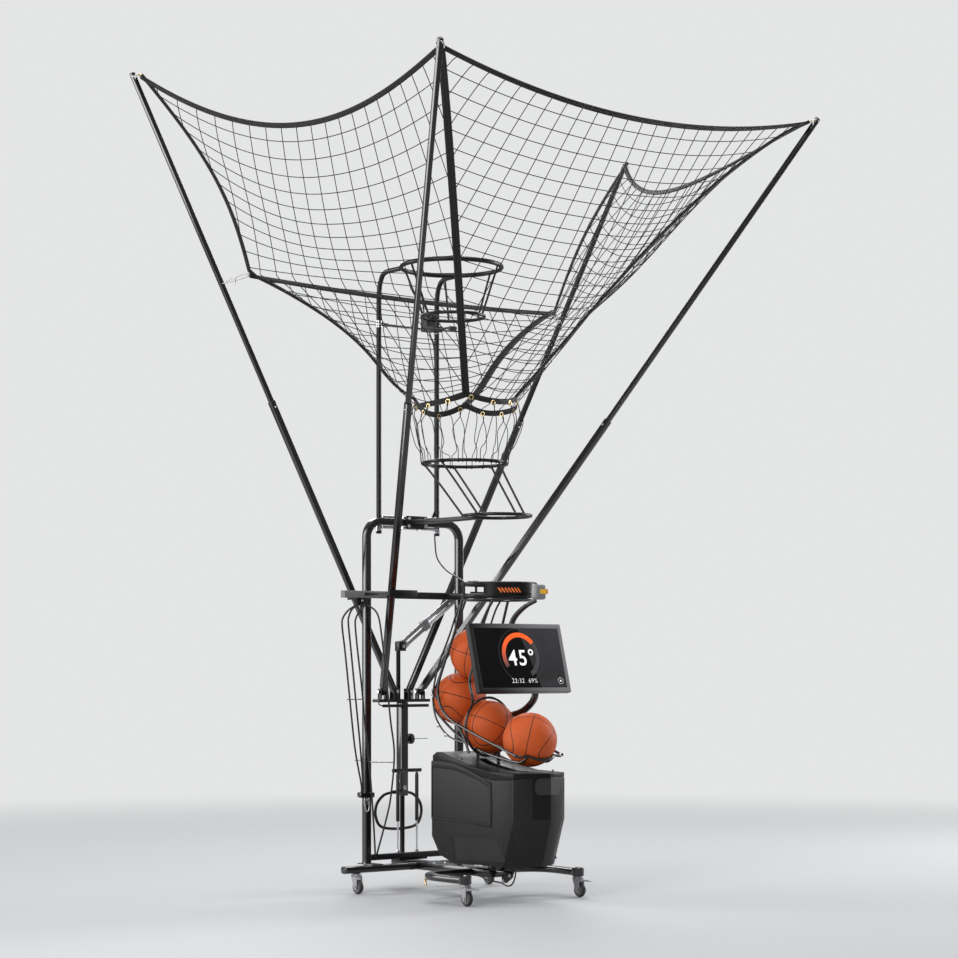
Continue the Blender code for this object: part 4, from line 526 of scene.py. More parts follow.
# Metals: tone, dull tone, roughness, the grain's scale along x, y and z, and its depth
FORK_STEEL = skinned("caster_fork_zinc", STEEL, (0.40, 0.40, 0.41), (0.26, 0.26, 0.27), 0.38,
                     (260.0, 260.0, 260.0), 0.10, metallic=0.9)
BAR_GREY = skinned("crossbar_sleeve_grey", STEEL, (0.20, 0.20, 0.204), (0.14, 0.14, 0.144), 0.50,
                   (60.0, 700.0, 700.0), 0.08, metallic=0.3)
STEEL_BRIGHT = skinned("zinc_plated_steel", STEEL, (0.66, 0.66, 0.67), (0.50, 0.50, 0.51), 0.20,
                       (90.0, 90.0, 700.0), 0.10, metallic=1.0)
STEEL_ROD = skinned("polished_rod_steel", STEEL, (0.74, 0.74, 0.75), (0.62, 0.62, 0.63), 0.10,
                    (900.0, 900.0, 60.0), 0.04, metallic=1.0)
BRASS = skinned("brass_eyelet", STEEL, (0.90, 0.72, 0.40), (0.74, 0.56, 0.29), 0.26, (300.0, 300.0, 300.0),
                0.06, metallic=1.0)

# Cords and webbing: tone, the tone between threads, threads in radians per metre, slant and depth
NET = skinned("net_cord_black", WEAVE, (0.012, 0.012, 0.0125), (0.004, 0.004, 0.004), 2400.0, 1.2, 0.5,
              sheen=0.05, specular=0.2)
TAPE = skinned("webbing_black", WEAVE, (0.013, 0.013, 0.0135), (0.005, 0.005, 0.005), 2600.0, 0.9, 0.7,
               sheen=0.08, specular=0.2)
WHITE_CORD = skinned("tie_cord_white", WEAVE, (0.88, 0.88, 0.86), (0.64, 0.63, 0.61), 2600.0, 1.0, 0.8,
                     sheen=0.2, specular=0.3)

# Rubber: tone, low tone, pebbles' scale and depth, roughness
TYRE = skinned("caster_tyre_rubber", PEBBLE, (0.028, 0.028, 0.029), (0.016, 0.016, 0.0165), 500.0, 0.12,
               0.55)


def right_of(slope, offset, add, calc):
    """How far a point lies to the right of a line across the display that leans by slope."""
    x, _, z = add("SeparateXYZ", {0: add("TexCoord")["Object"]})
    return calc("ADD", x, calc("MULTIPLY_ADD", z, slope, offset))


def glass_material():
    """Dark display glass with a painted reflection: lighter on the right of a slanted line, with faint
    blotches there.
    """
    material, dress, add, calc, mix, _ = principled("display_glass", roughness=0.12, specular=0.12)
    # Painted reflection: the glass is paler to the right of a slanted line.
    side = add("MapRange", {0: right_of(0.328, -0.4058, add, calc), 1: 0.0, 2: 0.0012})[0]
    haze = add("TexNoise", {"Vector": add("TexCoord")["Object"], "Scale": 9.0, "Detail": 2.0})["Fac"]
    # The painted reflection's tone, faintly blotched.
    painted_reflection = mix(haze, (0.040, 0.040, 0.0415), (0.052, 0.052, 0.054))
    dress({"Base Color": mix(side, (0.006, 0.006, 0.0065), painted_reflection)})
    return material


def screen_frame_material():
    """The display's frame with painted light and shade: near black on its left side, turning grey on its
    right.
    """
    material, dress, add, calc, mix, relief = principled("screen_frame_grey", roughness=0.45, specular=0.25)
    across = right_of(0.35, -0.37, add, calc)
    # Painted light and shade: dark on the frame's left, paler towards its right.
    painted_light_ramp = add("MapRange", {0: across, 1: -0.24, 2: 0.20}, interpolation_type="SMOOTHSTEP")[0]
    grain = add("TexNoise", {"Vector": add("TexCoord")["Object"], "Scale": 1500.0, "Detail": 2.0})["Fac"]
    dress({"Base Color": mix(painted_light_ramp, (0.005, 0.005, 0.0055), (0.20, 0.20, 0.204)),
           "Normal": relief(0.10, 0.0004, grain)})
    return material


def arc_material():
    """The dial's arc: orange at its head, fading to grey towards its tail."""
    material, dress, add, *_ = principled("display_orange_arc", roughness=0.25)
    along = add("SeparateXYZ", {0: add("TexCoord")["UV"]})["X"]
    ramp = add("ValToRGB", {0: along})[0]
    tail, head = ramp.node.color_ramp.elements
    tail.color, head.color, head.position = (0.06, 0.05, 0.05, 1), (0.90, 0.105, 0.012, 1), 0.42
    dress({"Base Color": ramp, "Emission Color": ramp, "Emission Strength": 0.5})
    return material


def lit_mark(name, colour, strength):
    """A lit mark on the display: its colour also shines a little."""
    material, dress, *_ = principled(name, roughness=0.25)
    dress({"Base Color": colour, "Emission Color": colour, "Emission Strength": strength})
    return material


GLASS, SCREEN_FRAME, ARC = glass_material(), screen_frame_material(), arc_material()
WHITE_MARK = lit_mark("display_white", (0.86, 0.86, 0.86), 0.5)
GREY_MARK = lit_mark("display_grey", (0.062, 0.062, 0.065), 0.1)

# Casters
LEG_X, LEG_Y = 0.325, -0.068
REAR_X, REAR_Y = 0.385, 0.665
CASTERS = {
    "front_left": (-LEG_X, LEG_Y),
    "front_right": (LEG_X, LEG_Y),
    "rear_left": (-REAR_X, REAR_Y),
    "rear_right": (REAR_X, REAR_Y),
}
WHEEL_R = 0.033
TRAIL = 0.014
BRAKE_Y = LEG_Y - 0.0285
LEVER_Z = 0.0765


def caster_fork(x, y):
    """Fork: a domed bearing turned about the stem, and two cheek plates that lean back to the axle."""
    wheel_y = y - TRAIL
    shapes = [lathe([(0, 0.0805), (0.0235, 0.0805), (0.025, 0.083), (0.025, 0.0875), (0.0235, 0.0895),
                     (0.021, 0.090),
                     (0.0205, 0.0938), (0.0190, 0.0945), (0, 0.0945)], (x, y, 0), (0, 0, 1), 40)]
    shapes.append(rod((x, y, 0.09), (x, y, 0.116), 0.006))
    for side in (-1, 1):
        cheek = rounded([(0.020, 0.083), (-0.0235, 0.083), (-0.026, 0.052), (-0.0245, 0.020),
                         (-0.0035, 0.020), (0.006, 0.045)],
                        0.005)
        inner, outer = sorted((side * 0.0132, side * 0.0168))
        shapes.append(plate(cheek, inner, outer, (x, y, 0), (0, 1, 0), (0, 0, 1), 0.0006))
        shapes.append(hexagon_nut((x + side * 0.0168, wheel_y, WHEEL_R), (side, 0, 0), 0.0075, 0.0042))
    shapes.append(rod((x - 0.0165, wheel_y, WHEEL_R), (x + 0.0165, wheel_y, WHEEL_R), 0.005))
    return shapes


def caster_wheel(x, y):
    """Wheel: a rounded tread over a dished hub, each a profile turned about the axle."""
    wheel_y = y - TRAIL
    bow = np.linspace(-np.pi / 2, np.pi / 2, 9)
    crown = [(0.0275 + 0.0055 * math.cos(a), 0.0110 * math.sin(a)) for a in bow]
    tread = [(0.0235, -0.0105)] + crown + [(0.0235, 0.0105)]
    tyre = lathe(tread + [tread[0]], (x, wheel_y, WHEEL_R), (1, 0, 0), 48)
    hub = [(0.0054, -0.0112), (0.0095, -0.0112), (0.0105, -0.0085), (0.0195, -0.0075), (0.0215, -0.0098),
           (0.0237, -0.0100),
           (0.0237, 0.0100), (0.0215, 0.0098), (0.0195, 0.0075), (0.0105, 0.0085), (0.0095, 0.0112),
           (0.0054, 0.0112)]
    return [tyre, lathe(hub + [hub[0]], (x, wheel_y, WHEEL_R), (1, 0, 0), 40)]


for place, (x, y) in CASTERS.items():
    make_piece(place + "_fork", caster_fork(x, y), FORK_STEEL, place + "_swivel",
               place + "_caster_fork")
    make_piece(place + "_wheel", caster_wheel(x, y), [TYRE, HUB_PLASTIC], place + "_wheel",
               place + "_caster_wheel", parts=[0, 1])
for side, x in (("left", -LEG_X), ("right", LEG_X)):
    pad = rounded([(-0.011, 0.0), (0.011, 0.0), (0.0115, -0.040), (0.0080, -0.062), (-0.0080, -0.062),
                   (-0.0115, -0.040)], 0.004)
    ribs = [block((x, BRAKE_Y - 0.022 - 0.008 * k, LEVER_Z + 0.0025), (0.018, 0.0022, 0.0014), 0.0006)
            for k in range(4)]
    lever = [plate(pad, -0.0022, 0.0022, (x, BRAKE_Y, LEVER_Z), (1, 0, 0), (0, 1, 0), 0.0008),
             rod((x - 0.010, BRAKE_Y, LEVER_Z), (x + 0.010, BRAKE_Y, LEVER_Z), 0.0045)]
    make_piece(side + "_brake_toe_lever", lever + ribs, STEEL_BRIGHT, side + "_brake",
               side + "_brake_lever")

# Base frame
across, rise = circle(1.0, 32).T
OVAL = np.stack([0.025 * np.sign(across) * np.abs(across) ** 0.62,
                 0.0165 * np.sign(rise) * np.abs(rise) ** 0.72], -1)
BASE_Z = 0.1115
UPRIGHT_Y, UPRIGHT_HALF, UPRIGHT_TOP = 0.741, 0.272, 1.722
LEG_COLLAR_Z = 0.448
rear_line = np.stack([np.linspace(-0.452, 0.452, 12), np.full(12, REAR_Y), np.full(12, BASE_Z)], -1)
base_shapes = [sweep(rear_line, OVAL)]
for side in (-1, 1):
    base_shapes.append(sweep([(side * 0.449, REAR_Y, BASE_Z), (side * 0.4535, REAR_Y, BASE_Z),
                              (side * 0.455, REAR_Y, BASE_Z)],
                             OVAL, scale=[1.03, 1.03, 0.94]))
    base_shapes.append(block((side * UPRIGHT_HALF, 0.711, 0.1285), (0.062, 0.122, 0.005), 0.0015))
    base_shapes.append(plate(rounded([(0.012, -0.0095), (0.095, -0.0095), (0.095, 0.0060),
                                      (0.012, 0.0060)], 0.003), -0.004, 0.004,
                             (side * UPRIGHT_HALF, REAR_Y, 0.118), (0, 1, 0), (0, 0, 1), 0.0008))
make_piece("rear_cross_tube_coated", base_shapes, GLOSS, "base", "rear_cross_tube")
straps = [sweep([(x - 0.016, REAR_Y, BASE_Z), (x + 0.016, REAR_Y, BASE_Z)], OVAL * 1.05)
          for x in (-0.075, 0.075)]
make_piece("rear_tube_joint_sleeves", straps, SATIN, "base")

leg_points = [(-LEG_X, LEG_Y, BASE_Z), (-0.333, 0.040, BASE_Z), (-0.334, 0.130, BASE_Z),
              (-0.312, 0.200, BASE_Z),
              (-0.25, 0.240, BASE_Z), (-0.14, 0.245, BASE_Z), (0, 0.245, BASE_Z)]
leg_line = through(leg_points + [(-x, y, z) for x, y, z in leg_points[-2::-1]], 8)
leg_shapes = [sweep(leg_line, OVAL)]
for side in (-1, 1):
    leg_shapes.append(lathe([(0, 0.0950), (0.0265, 0.0950), (0.028, 0.0965), (0.028, 0.1300),
                             (0.0265, 0.1318), (0.0225, 0.1322),
                             (0.0215, 0.1305), (0, 0.1305)], (side * LEG_X, LEG_Y, 0), (0, 0, 1), 48))
make_piece("front_leg_tube_coated", leg_shapes, GLOSS, "base", "front_leg_tube")
spine = [block((0, 0.479, 0.1125), (0.100, 0.746, 0.035), 0.003),
         block((0, 0.075, 0.1210), (0.058, 0.100, 0.016), 0.002),
         lathe([(0, 0.126), (0.041, 0.126), (0.042, 0.127), (0.042, 0.149), (0.041, 0.150), (0, 0.150)],
               (0, 0.110, 0), (0, 0, 1), 48)]
make_piece("base_spine_coated", spine, GLOSS, "base", "base_spine")
eased("tie_bar_and_post", SATIN, "base", 0.0012, 2)

bracket = rounded([(0.172, 0.142), (-0.0255, 0.156), (-0.0255, 0.143), (-0.009, 0.1395), (0.001, 0.1005),
                   (0.0465, 0.0715),
                   (0.0745, 0.076), (0.082, 0.130), (0.172, 0.129)], 0.003, 4)
make_piece("front_bracket_plate", plate(bracket, -0.003, 0.003, (0, 0, 0), (0, 1, 0), (0, 0, 1), 0.0010),
           SATIN, "base")
edge_rod = bent([(0.0035, y, z) for y, z in ((0.380, 0.101), (0.224, 0.090), (0.202, 0.075),
                                             (0.144, 0.0735), (0.0865, 0.071),
                                             (0.038, 0.056), (0.003, 0.0715), (-0.015, 0.111),
                                             (-0.0185, 0.147))], 10)
make_piece("front_bracket_bent_rod", tube(edge_rod, 0.0036, 12, up=(1, 0, 0)), GLOSS, "base")
barb = [lathe([(0, 0), (0.0062, 0), (0.0062, 0.010), (0.0042, 0.012), (0.0055, 0.016), (0.0042, 0.020),
               (0.0050, 0.024), (0.0030, 0.030), (0, 0.030)],
              (-0.334, 0.212, 0.0962), (0, -0.35, -1), 20),
        ring(0, 0.0078, 0, 0.006, (-0.334, 0.212, 0.0972), (0, -0.35, -1), 6)]
make_piece("leg_drain_barb", barb, BRASS, "base")

small_bolts = [bolt((-0.003, y, z), (-1, 0, 0), 0.0060, 0.004)
               for y, z in ((0.067, 0.126), (0.067, 0.079), (0.020, 0.110))]
for side in (-1, 1):
    for y in (0.728, 0.752):
        small_bolts.append(bolt((side * 0.2945, y, 0.1310), (0, 0, 1), 0.0042, 0.003))
    small_bolts.append(bolt((side * LEG_X, LEG_Y, 0.1305), (0, 0, 1), 0.0062, 0.004))
    small_bolts.append(bolt((side * REAR_X, REAR_Y, 0.1280), (0, 0, 1), 0.0062, 0.004))
for y in (0.30, 0.54):
    for x in (-0.032, 0.032):
        small_bolts.append(bolt((x, y, 0.1295), (0, 0, 1), 0.005, 0.003))
make_piece("base_frame_screws", small_bolts, STEEL_BRIGHT, "base")

# Upright frame
turn = np.linspace(0, np.pi / 2, 15)
corner = 0.075
left_bend = np.stack([-(UPRIGHT_HALF - corner) - corner * np.cos(turn), np.full(15, UPRIGHT_Y),
                      UPRIGHT_TOP - corner + corner * np.sin(turn)], -1)
right_bend = left_bend[::-1] * [-1, 1, 1]
upright_line = np.vstack([[(-UPRIGHT_HALF, UPRIGHT_Y, 0.1315)], left_bend, right_bend,
                          [(UPRIGHT_HALF, UPRIGHT_Y, 0.1315)]])
upright_shapes = [sweep(upright_line, oblong(0.034, 0.034, 0.006), up=(0, 1, 0))]
upright_shapes.append(block((-UPRIGHT_HALF - 0.008, UPRIGHT_Y - 0.0055, LEG_COLLAR_Z), (0.060, 0.058, 0.0235),
                            0.003))
upright_shapes.append(block((-UPRIGHT_HALF - 0.042, UPRIGHT_Y - 0.0245, LEG_COLLAR_Z), (0.028, 0.020, 0.0235),
                            0.003))
make_piece("upright_frame_coated", upright_shapes, GLOSS, "base", "upright_frame")
latch = [
    block((-0.2985, UPRIGHT_Y - 0.0375, 0.4215), (0.030, 0.005, 0.030), 0.001),
    tube(bent([(-0.3105, 0.702, 0.409), (-0.3105, 0.700, 0.385), (-0.2985, 0.700, 0.368),
               (-0.2865, 0.700, 0.385), (-0.2865, 0.702, 0.409)]), 0.0022, up=(0, 1, 0)),
    bolt((-0.2985, UPRIGHT_Y - 0.0400, 0.4270), (0, -1, 0), 0.0045, 0.003),
]
make_piece("leg_collar_latch", latch, STEEL_BRIGHT, "base")

# Mast, hub and brace
MAST_Y, HUB_Z, PIVOT_Y = 0.830, 0.925, 0.836
GAS_Y, LOCK_Z = 0.790, 0.700
eased("mast_tube", GLOSS, "mast", 0.0015, 2)
eased("hub_and_stay", SATIN, "mast", 0.0010, 2)
eased("crossbar", SATIN, "mast", 0.0014, 2)
sleeve = [(-0.4306, 0.7080, 1.378), (-0.4302, 0.7080, 1.378), (-0.1830, 0.7080, 1.378)]
make_piece("crossbar_grey_sleeve", sweep(sleeve, oblong(0.0330, 0.0330, 0.0026), up=(0, 0, 1)), BAR_GREY,
           "mast")
eased("fold_brace", FORK_STEEL, "mast", 0.0010, 2)
eased("release_bar", SATIN, "release", 0.0010, 2)
hub_bolts = []
for side in (-1, 1):
    for end in (-1, 1):
        hub_bolts.append(hexagon_nut((side * 0.110 + end * 0.0220, PIVOT_Y, HUB_Z), (end, 0, 0), 0.0088,
                                     0.0065))
        hub_bolts.append(hexagon_nut((side * 0.042, PIVOT_Y + end * 0.0220, HUB_Z), (0, end, 0), 0.0088,
                                     0.0065))
    hub_bolts.append(bolt((side * 0.070, 0.7925, 0.552), (0, -1, 0), 0.0066, 0.006))
    hub_bolts.append(bolt((side * 0.032, 0.7965, 0.552), (0, -1, 0), 0.0045, 0.003))
hub_bolts.append(bolt((-0.0213, MAST_Y, 0.500), (-1, 0, 0), 0.0075, 0.005))
hub_bolts.append(bolt((0, MAST_Y - 0.0213, 0.470), (0, -1, 0), 0.0075, 0.005))
hub_bolts.append(hexagon_nut((-0.030, 0.7805, 1.140), (0, -1, 0), 0.0095, 0.006))
make_piece("mast_and_hub_nuts", hub_bolts, STEEL_BRIGHT, "mast")
grip = [
    lathe([(0, 0.0415), (0.0235, 0.0415), (0.025, 0.043), (0.025, 0.0555), (0.0235, 0.057),
           (0.014, 0.0578), (0, 0.0578)], (0, MAST_Y, LOCK_Z), (1, 0, 0), 48),
    rod((0.018, MAST_Y, LOCK_Z), (0.075, MAST_Y, LOCK_Z), 0.005),
]
make_piece("lock_knob_grip", grip + [rod((0.074, MAST_Y, LOCK_Z), (0.150, MAST_Y, LOCK_Z), 0.003)],
           [PLASTIC, STEEL_ROD], "knob",
           "lock_knob", parts=[0, 1, 1])
for side, x in (("left", -0.056), ("right", 0.056)):
    cylinder = lathe([(0.0046, 0.312), (0.0075, 0.312), (0.0085, 0.3135), (0.0085, 0.530), (0.0075, 0.534),
                      (0.0060, 0.5365), (0.0060, 0.5425), (0, 0.5435)],
                     (x, GAS_Y, 0), (0, 0, 1), 32)
    make_piece(side + "_gas_spring_body", cylinder, PLASTIC, "mast",
               side + "_gas_cylinder")
    stem = [rod((x, GAS_Y, 0.1534), (x, GAS_Y, 0.400), 0.0045),
            block((x, GAS_Y, 0.1665), (0.014, 0.014, 0.025), 0.002),
            ring(0, 0.0095, 0, 0.004, (x, GAS_Y, 0.1535), (0, 0, 1), 24)]
    make_piece(side + "_gas_spring_rod", stem, STEEL_ROD, "base", side + "_gas_rod")
STAY_Y = 0.8606
half_loop = [(-0.030, 0.447), (-0.085, 0.435), (-0.128, 0.392), (-0.134, 0.335), (-0.100, 0.285),
             (0.0, 0.272)]
loop_points = [(x, STAY_Y, z) for x, z in half_loop] + [(-x, STAY_Y, z) for x, z in half_loop[-2::-1]]
make_piece("foot_loop_coated", [tube(through(loop_points, 8), 0.007, 16, up=(0, 1, 0)),
                                rod((-0.034, STAY_Y, 0.447), (0.034, STAY_Y, 0.447), 0.009)],
           SATIN, "mast", "foot_loop")

# Side wires
CROSS_Y = UPRIGHT_Y - 0.017 - 0.0003 - 0.016
HOOK_WIRE_Z = 1.332 - 0.0003 - 0.0032
CLAMP_WIRE_Z = LEG_COLLAR_Z + 0.0235 / 2 + 0.0003
TIE_WIRE_Y = UPRIGHT_Y - 0.0135 - 0.0006 - 0.004
WIRE_Y = CROSS_Y - 0.0077
WIRES = [
    [(-0.356, CROSS_Y, HOOK_WIRE_Z), (-0.405, WIRE_Y, 1.303), (-0.435, WIRE_Y, 1.268),
     (-0.440, WIRE_Y, 1.230), (-0.424, WIRE_Y, 1.116),
     (-0.402, WIRE_Y, 0.937), (-0.369, WIRE_Y, 0.674), (-0.3225, 0.714, 0.500),
     (-0.3225, 0.714, CLAMP_WIRE_Z)],
    [(-0.346, CROSS_Y, HOOK_WIRE_Z), (-0.384, WIRE_Y, 1.308), (-0.402, WIRE_Y, 1.275),
     (-0.405, WIRE_Y, 1.240), (-0.390, WIRE_Y, 1.116),
     (-0.369, WIRE_Y, 0.937), (-0.338, WIRE_Y, 0.673), (-0.3125, 0.714, 0.500),
     (-0.3125, 0.714, CLAMP_WIRE_Z)],
    [(-0.306, CROSS_Y, HOOK_WIRE_Z), (-0.340, WIRE_Y, 1.303), (-0.362, WIRE_Y, 1.268),
     (-0.366, WIRE_Y, 1.230), (-0.351, WIRE_Y, 1.103),
     (-0.328, WIRE_Y, 0.937), (-0.311, WIRE_Y, 0.775), (-0.279, WIRE_Y, 0.519), (-0.246, 0.712, 0.210),
     (-0.240, TIE_WIRE_Y, 0.159)],
    [(-0.291, CROSS_Y, HOOK_WIRE_Z), (-0.268, WIRE_Y - 0.018, 1.305), (-0.256, WIRE_Y - 0.036, 1.262),
     (-0.247, WIRE_Y - 0.050, 1.150),
     (-0.229, WIRE_Y - 0.050, 1.029), (-0.195, WIRE_Y - 0.040, 0.802), (-0.165, WIRE_Y - 0.030, 0.638),
     (-0.176, WIRE_Y - 0.020, 0.450),
     (-0.193, WIRE_Y - 0.010, 0.346), (-0.226, 0.708, 0.205), (-0.230, TIE_WIRE_Y, 0.159)],
]
STRETCH = ("base", "mast", (-0.3, 0.70, 0.46), (-0.3, 0.70, 1.33))
wire_shapes = [tube(through(points, 8), 0.0043, 12, up=(0, 1, 0.01)) for points in WIRES]
wire_shapes += [rod((-0.360, CROSS_Y, HOOK_WIRE_Z), (-0.287, CROSS_Y, HOOK_WIRE_Z), 0.0032),
                rod((-0.243, TIE_WIRE_Y, 0.159), (-0.227, TIE_WIRE_Y, 0.159), 0.004)]
make_piece("side_wires_sheathed", wire_shapes, RUBBER_CORD, STRETCH, "side_wires")
ties = [rod((-0.418, WIRE_Y, 0.893), (-0.321, WIRE_Y, 0.893), 0.0026),
        rod((-0.372, WIRE_Y, 0.612), (-0.334, WIRE_Y, 0.612), 0.0026),
        rod((-0.290, WIRE_Y, 0.602), (-0.165, WIRE_Y - 0.028, 0.5985), 0.0026)]
make_piece("side_wire_ties", ties, STEEL_BRIGHT, STRETCH)
hook = [tube(hoop_line((-0.3235, CROSS_Y, 1.322), 0.013, 40, (1, 0, 0), (0, 0, 1)), 0.0026, 10,
             up=(0, 1, 0), closed=True),
        bolt((-0.3235, CROSS_Y - 0.003, 1.350), (0, -1, 0), 0.005, 0.004)]
make_piece("side_wire_hook_ring", hook, STEEL_BRIGHT, "mast")

# Net poles
POLE_STEP, POLE_HALF = 0.49, 0.0130
for place in ("front_left", "front_right", "rear_left", "rear_right"):
    eased(place + "_pole_lower", GLOSS, place + "_pole", 0.0028, 3)
    eased(place + "_pole_upper", GLOSS, place + "_pole", 0.0022, 3)

# Net
FRONT_TIP, REAR_TIP = np.array([1.063, -0.853, 3.493]), np.array([1.452, 0.853, 3.637])
FRONT_CORNER = FRONT_TIP + [-0.022, 0.030, -0.012]
REAR_CORNER = REAR_TIP + [-0.026, -0.030, -0.010]
STRAP_CORNER = np.array([0.8975, 0.776, 2.806])
COLLAR_Y, COLLAR_Z, COLLAR_R = 0.342, 2.262, 0.236
FRONT_ANGLE, REAR_ANGLE = math.radians(-52), math.radians(52)
KNEE = 0.52
KNEE_SHARE = 0.65
MESH_CELL = 0.082
CORD_R = 0.0020
TAPE_W = 0.024
FRONT_DROOP, SLACK = 0.132, 0.06
SIDE_DROOP, SIDE_DROOP_LEAN = 0.218, 0.080
SIDE_BOW, SIDE_BOW_LEAN = 0.175, 0.031
FRONT_SEAM_BOW, REAR_EDGE_BOW, REAR_SEAM_BOW, REAR_SEAM_FLARE = 0.19, 0.08, 0.10, 0.040


def collar_height(angle):
    """The collar's middle line: high where the four seams meet it, and sagging most at the rear."""
    seams = (FRONT_ANGLE, REAR_ANGLE, np.pi - FRONT_ANGLE, np.pi - REAR_ANGLE)
    from_seam = np.min([np.abs((angle - s + np.pi) % TAU - np.pi) for s in seams], 0)
    return COLLAR_Z + 0.004 - (0.038 + 0.010 * np.sin(angle)) * (1 - np.exp(-((from_seam / 0.30) ** 1.5)))


def collar_rim(angle):
    """The collar's circle, just under its upper edge."""
    return np.stack([COLLAR_R * np.cos(angle), COLLAR_Y + COLLAR_R * np.sin(angle),
                     collar_height(angle) + 0.010], -1)


def mixed(a, b, t):
    """Points at the share t of the way from a to b."""
    return a + (b - a) * t[..., None]


def drawn_in(point, corner, amount):
    """Points moved level by amount, the way that leads from a right corner to the net's axis."""
    return point + unit([-corner[0], COLLAR_Y - corner[1], 0]) * amount[..., None]


def mirrored(point):
    """The same points on the other side of the middle plane."""
    return point * [-1, 1, 1]


def front_seam(t):
    """How far the front seams are drawn in between the pole tip at t = 0 and the collar at t = 1."""
    return FRONT_SEAM_BOW * np.sin(np.pi * t**0.66)


def front_share(t):
    """How far down the front seam the side panel's row t starts, with KNEE_SHARE at the knee row."""
    return np.where(t < KNEE, t / KNEE * KNEE_SHARE,
                    KNEE_SHARE + (t - KNEE) / (1 - KNEE) * (1 - KNEE_SHARE))


def rear_seam(t):
    """The same for the rear edge above the knee and the rear seam below it."""
    below = np.clip((t - KNEE) / (1 - KNEE), 0, 1)
    edge = REAR_EDGE_BOW * np.sin(np.pi * np.minimum(t, KNEE) / KNEE)
    seam = REAR_SEAM_BOW * np.sin(np.pi * below**0.8) - REAR_SEAM_FLARE * np.sin(np.pi * below**4)
    return np.where(t < KNEE, edge, seam)


def near_edge(s):
    """The share of an edge's bow at s: 1 at s = 1, and 0 from the middle on."""
    return np.maximum(0.0, 2 * s - 1) ** 1.5


def front_panel(s, t):
    """Front panel: straight lines from a drooping top edge to the collar's arc, sunk by a half wave of t,
    and drawn in along its two seams."""
    top = mixed(FRONT_CORNER * [-1, 1, 1], FRONT_CORNER, s)
    top[..., 2] -= FRONT_DROOP * 4 * s * (1 - s)
    low = collar_rim(math.pi - FRONT_ANGLE + (math.pi + 2 * FRONT_ANGLE) * s)
    point = mixed(top, low, t)
    point[..., 2] -= SLACK * np.sin(np.pi * t)
    point = drawn_in(point, FRONT_CORNER, front_seam(t) * near_edge(s))
    return mirrored(drawn_in(mirrored(point), FRONT_CORNER, front_seam(t) * near_edge(1 - s)))


def side_panel(s, t):
    """Right side panel: from its top edge to the knee line at the strap, then on to the collar's arc,
    drawn in along its front seam and its rear edge."""
    top = mixed(FRONT_CORNER, REAR_CORNER, s)
    hang = 4 * s * (1 - s)
    top[..., 2] -= (SIDE_DROOP + SIDE_DROOP_LEAN * (2 * s - 1)) * hang
    top[..., 0] -= (SIDE_BOW + SIDE_BOW_LEAN * (2 * s - 1)) * hang
    low = collar_rim(FRONT_ANGLE + (REAR_ANGLE - FRONT_ANGLE) * s)
    knee = mixed(FRONT_CORNER + (collar_rim(np.array(FRONT_ANGLE)) - FRONT_CORNER) * KNEE_SHARE,
                 STRAP_CORNER, s)
    point = np.where((t < KNEE)[..., None], mixed(top, knee, t / KNEE),
                     mixed(knee, low, (t - KNEE) / (1 - KNEE)))
    point[..., 2] -= SLACK * np.sin(np.pi * np.minimum(t / KNEE, 1)) * hang
    start = front_share(t)
    point[..., 2] -= SLACK * np.sin(np.pi * start) * (1 - s)
    point = drawn_in(point, FRONT_CORNER, front_seam(start) * near_edge(1 - s))
    return drawn_in(point, STRAP_CORNER, rear_seam(t) * near_edge(s))


def left_panel(s, t):
    """Left side panel: the right one mirrored."""
    return mirrored(side_panel(s, t))


def rear_panel(s, t):
    """Rear panel: low, from strap to strap, bowed forward in the middle."""
    x = STRAP_CORNER[0] * (2 * s - 1)
    forward = 0.045 * (1 - np.minimum(1.0, np.abs(x) / 0.9) ** 2)
    middle = 1 - (2 * s - 1) ** 2
    top = np.stack([x, STRAP_CORNER[1] - forward, STRAP_CORNER[2] - 0.028 * middle], -1)
    point = mixed(top, collar_rim(math.pi - REAR_ANGLE + (2 * REAR_ANGLE - math.pi) * s), t)
    point[..., 2] -= 0.035 * np.sin(np.pi * t) * middle
    bow = rear_seam(KNEE + (1 - KNEE) * t)
    point = drawn_in(point, STRAP_CORNER, bow * near_edge(s))
    return mirrored(drawn_in(mirrored(point), STRAP_CORNER, bow * near_edge(1 - s)))


def strands(paths, radius, up, sides=5):
    """Many cords at once: each path's points with a small polygon about them, square to its run."""
    along = unit(np.gradient(paths, axis=1))
    across = unit(np.cross(along, np.asarray(up, float)))
    rise = np.cross(across, along)
    loop = circle(radius, sides)
    loop = np.vstack([loop, loop[:1]])
    grid = paths[:, :, None] + across[:, :, None] * loop[:, :1] + rise[:, :, None] * loop[:, 1:]
    shapes = []
    run = lengths(paths, 1)
    for cord, length in zip(grid, run):
        uv = np.stack(np.broadcast_arrays(np.linspace(0, TAU * radius, sides + 1)[None], length[:, None]),
                      -1)
        shapes.append(surface(cord, uv))
    return shapes


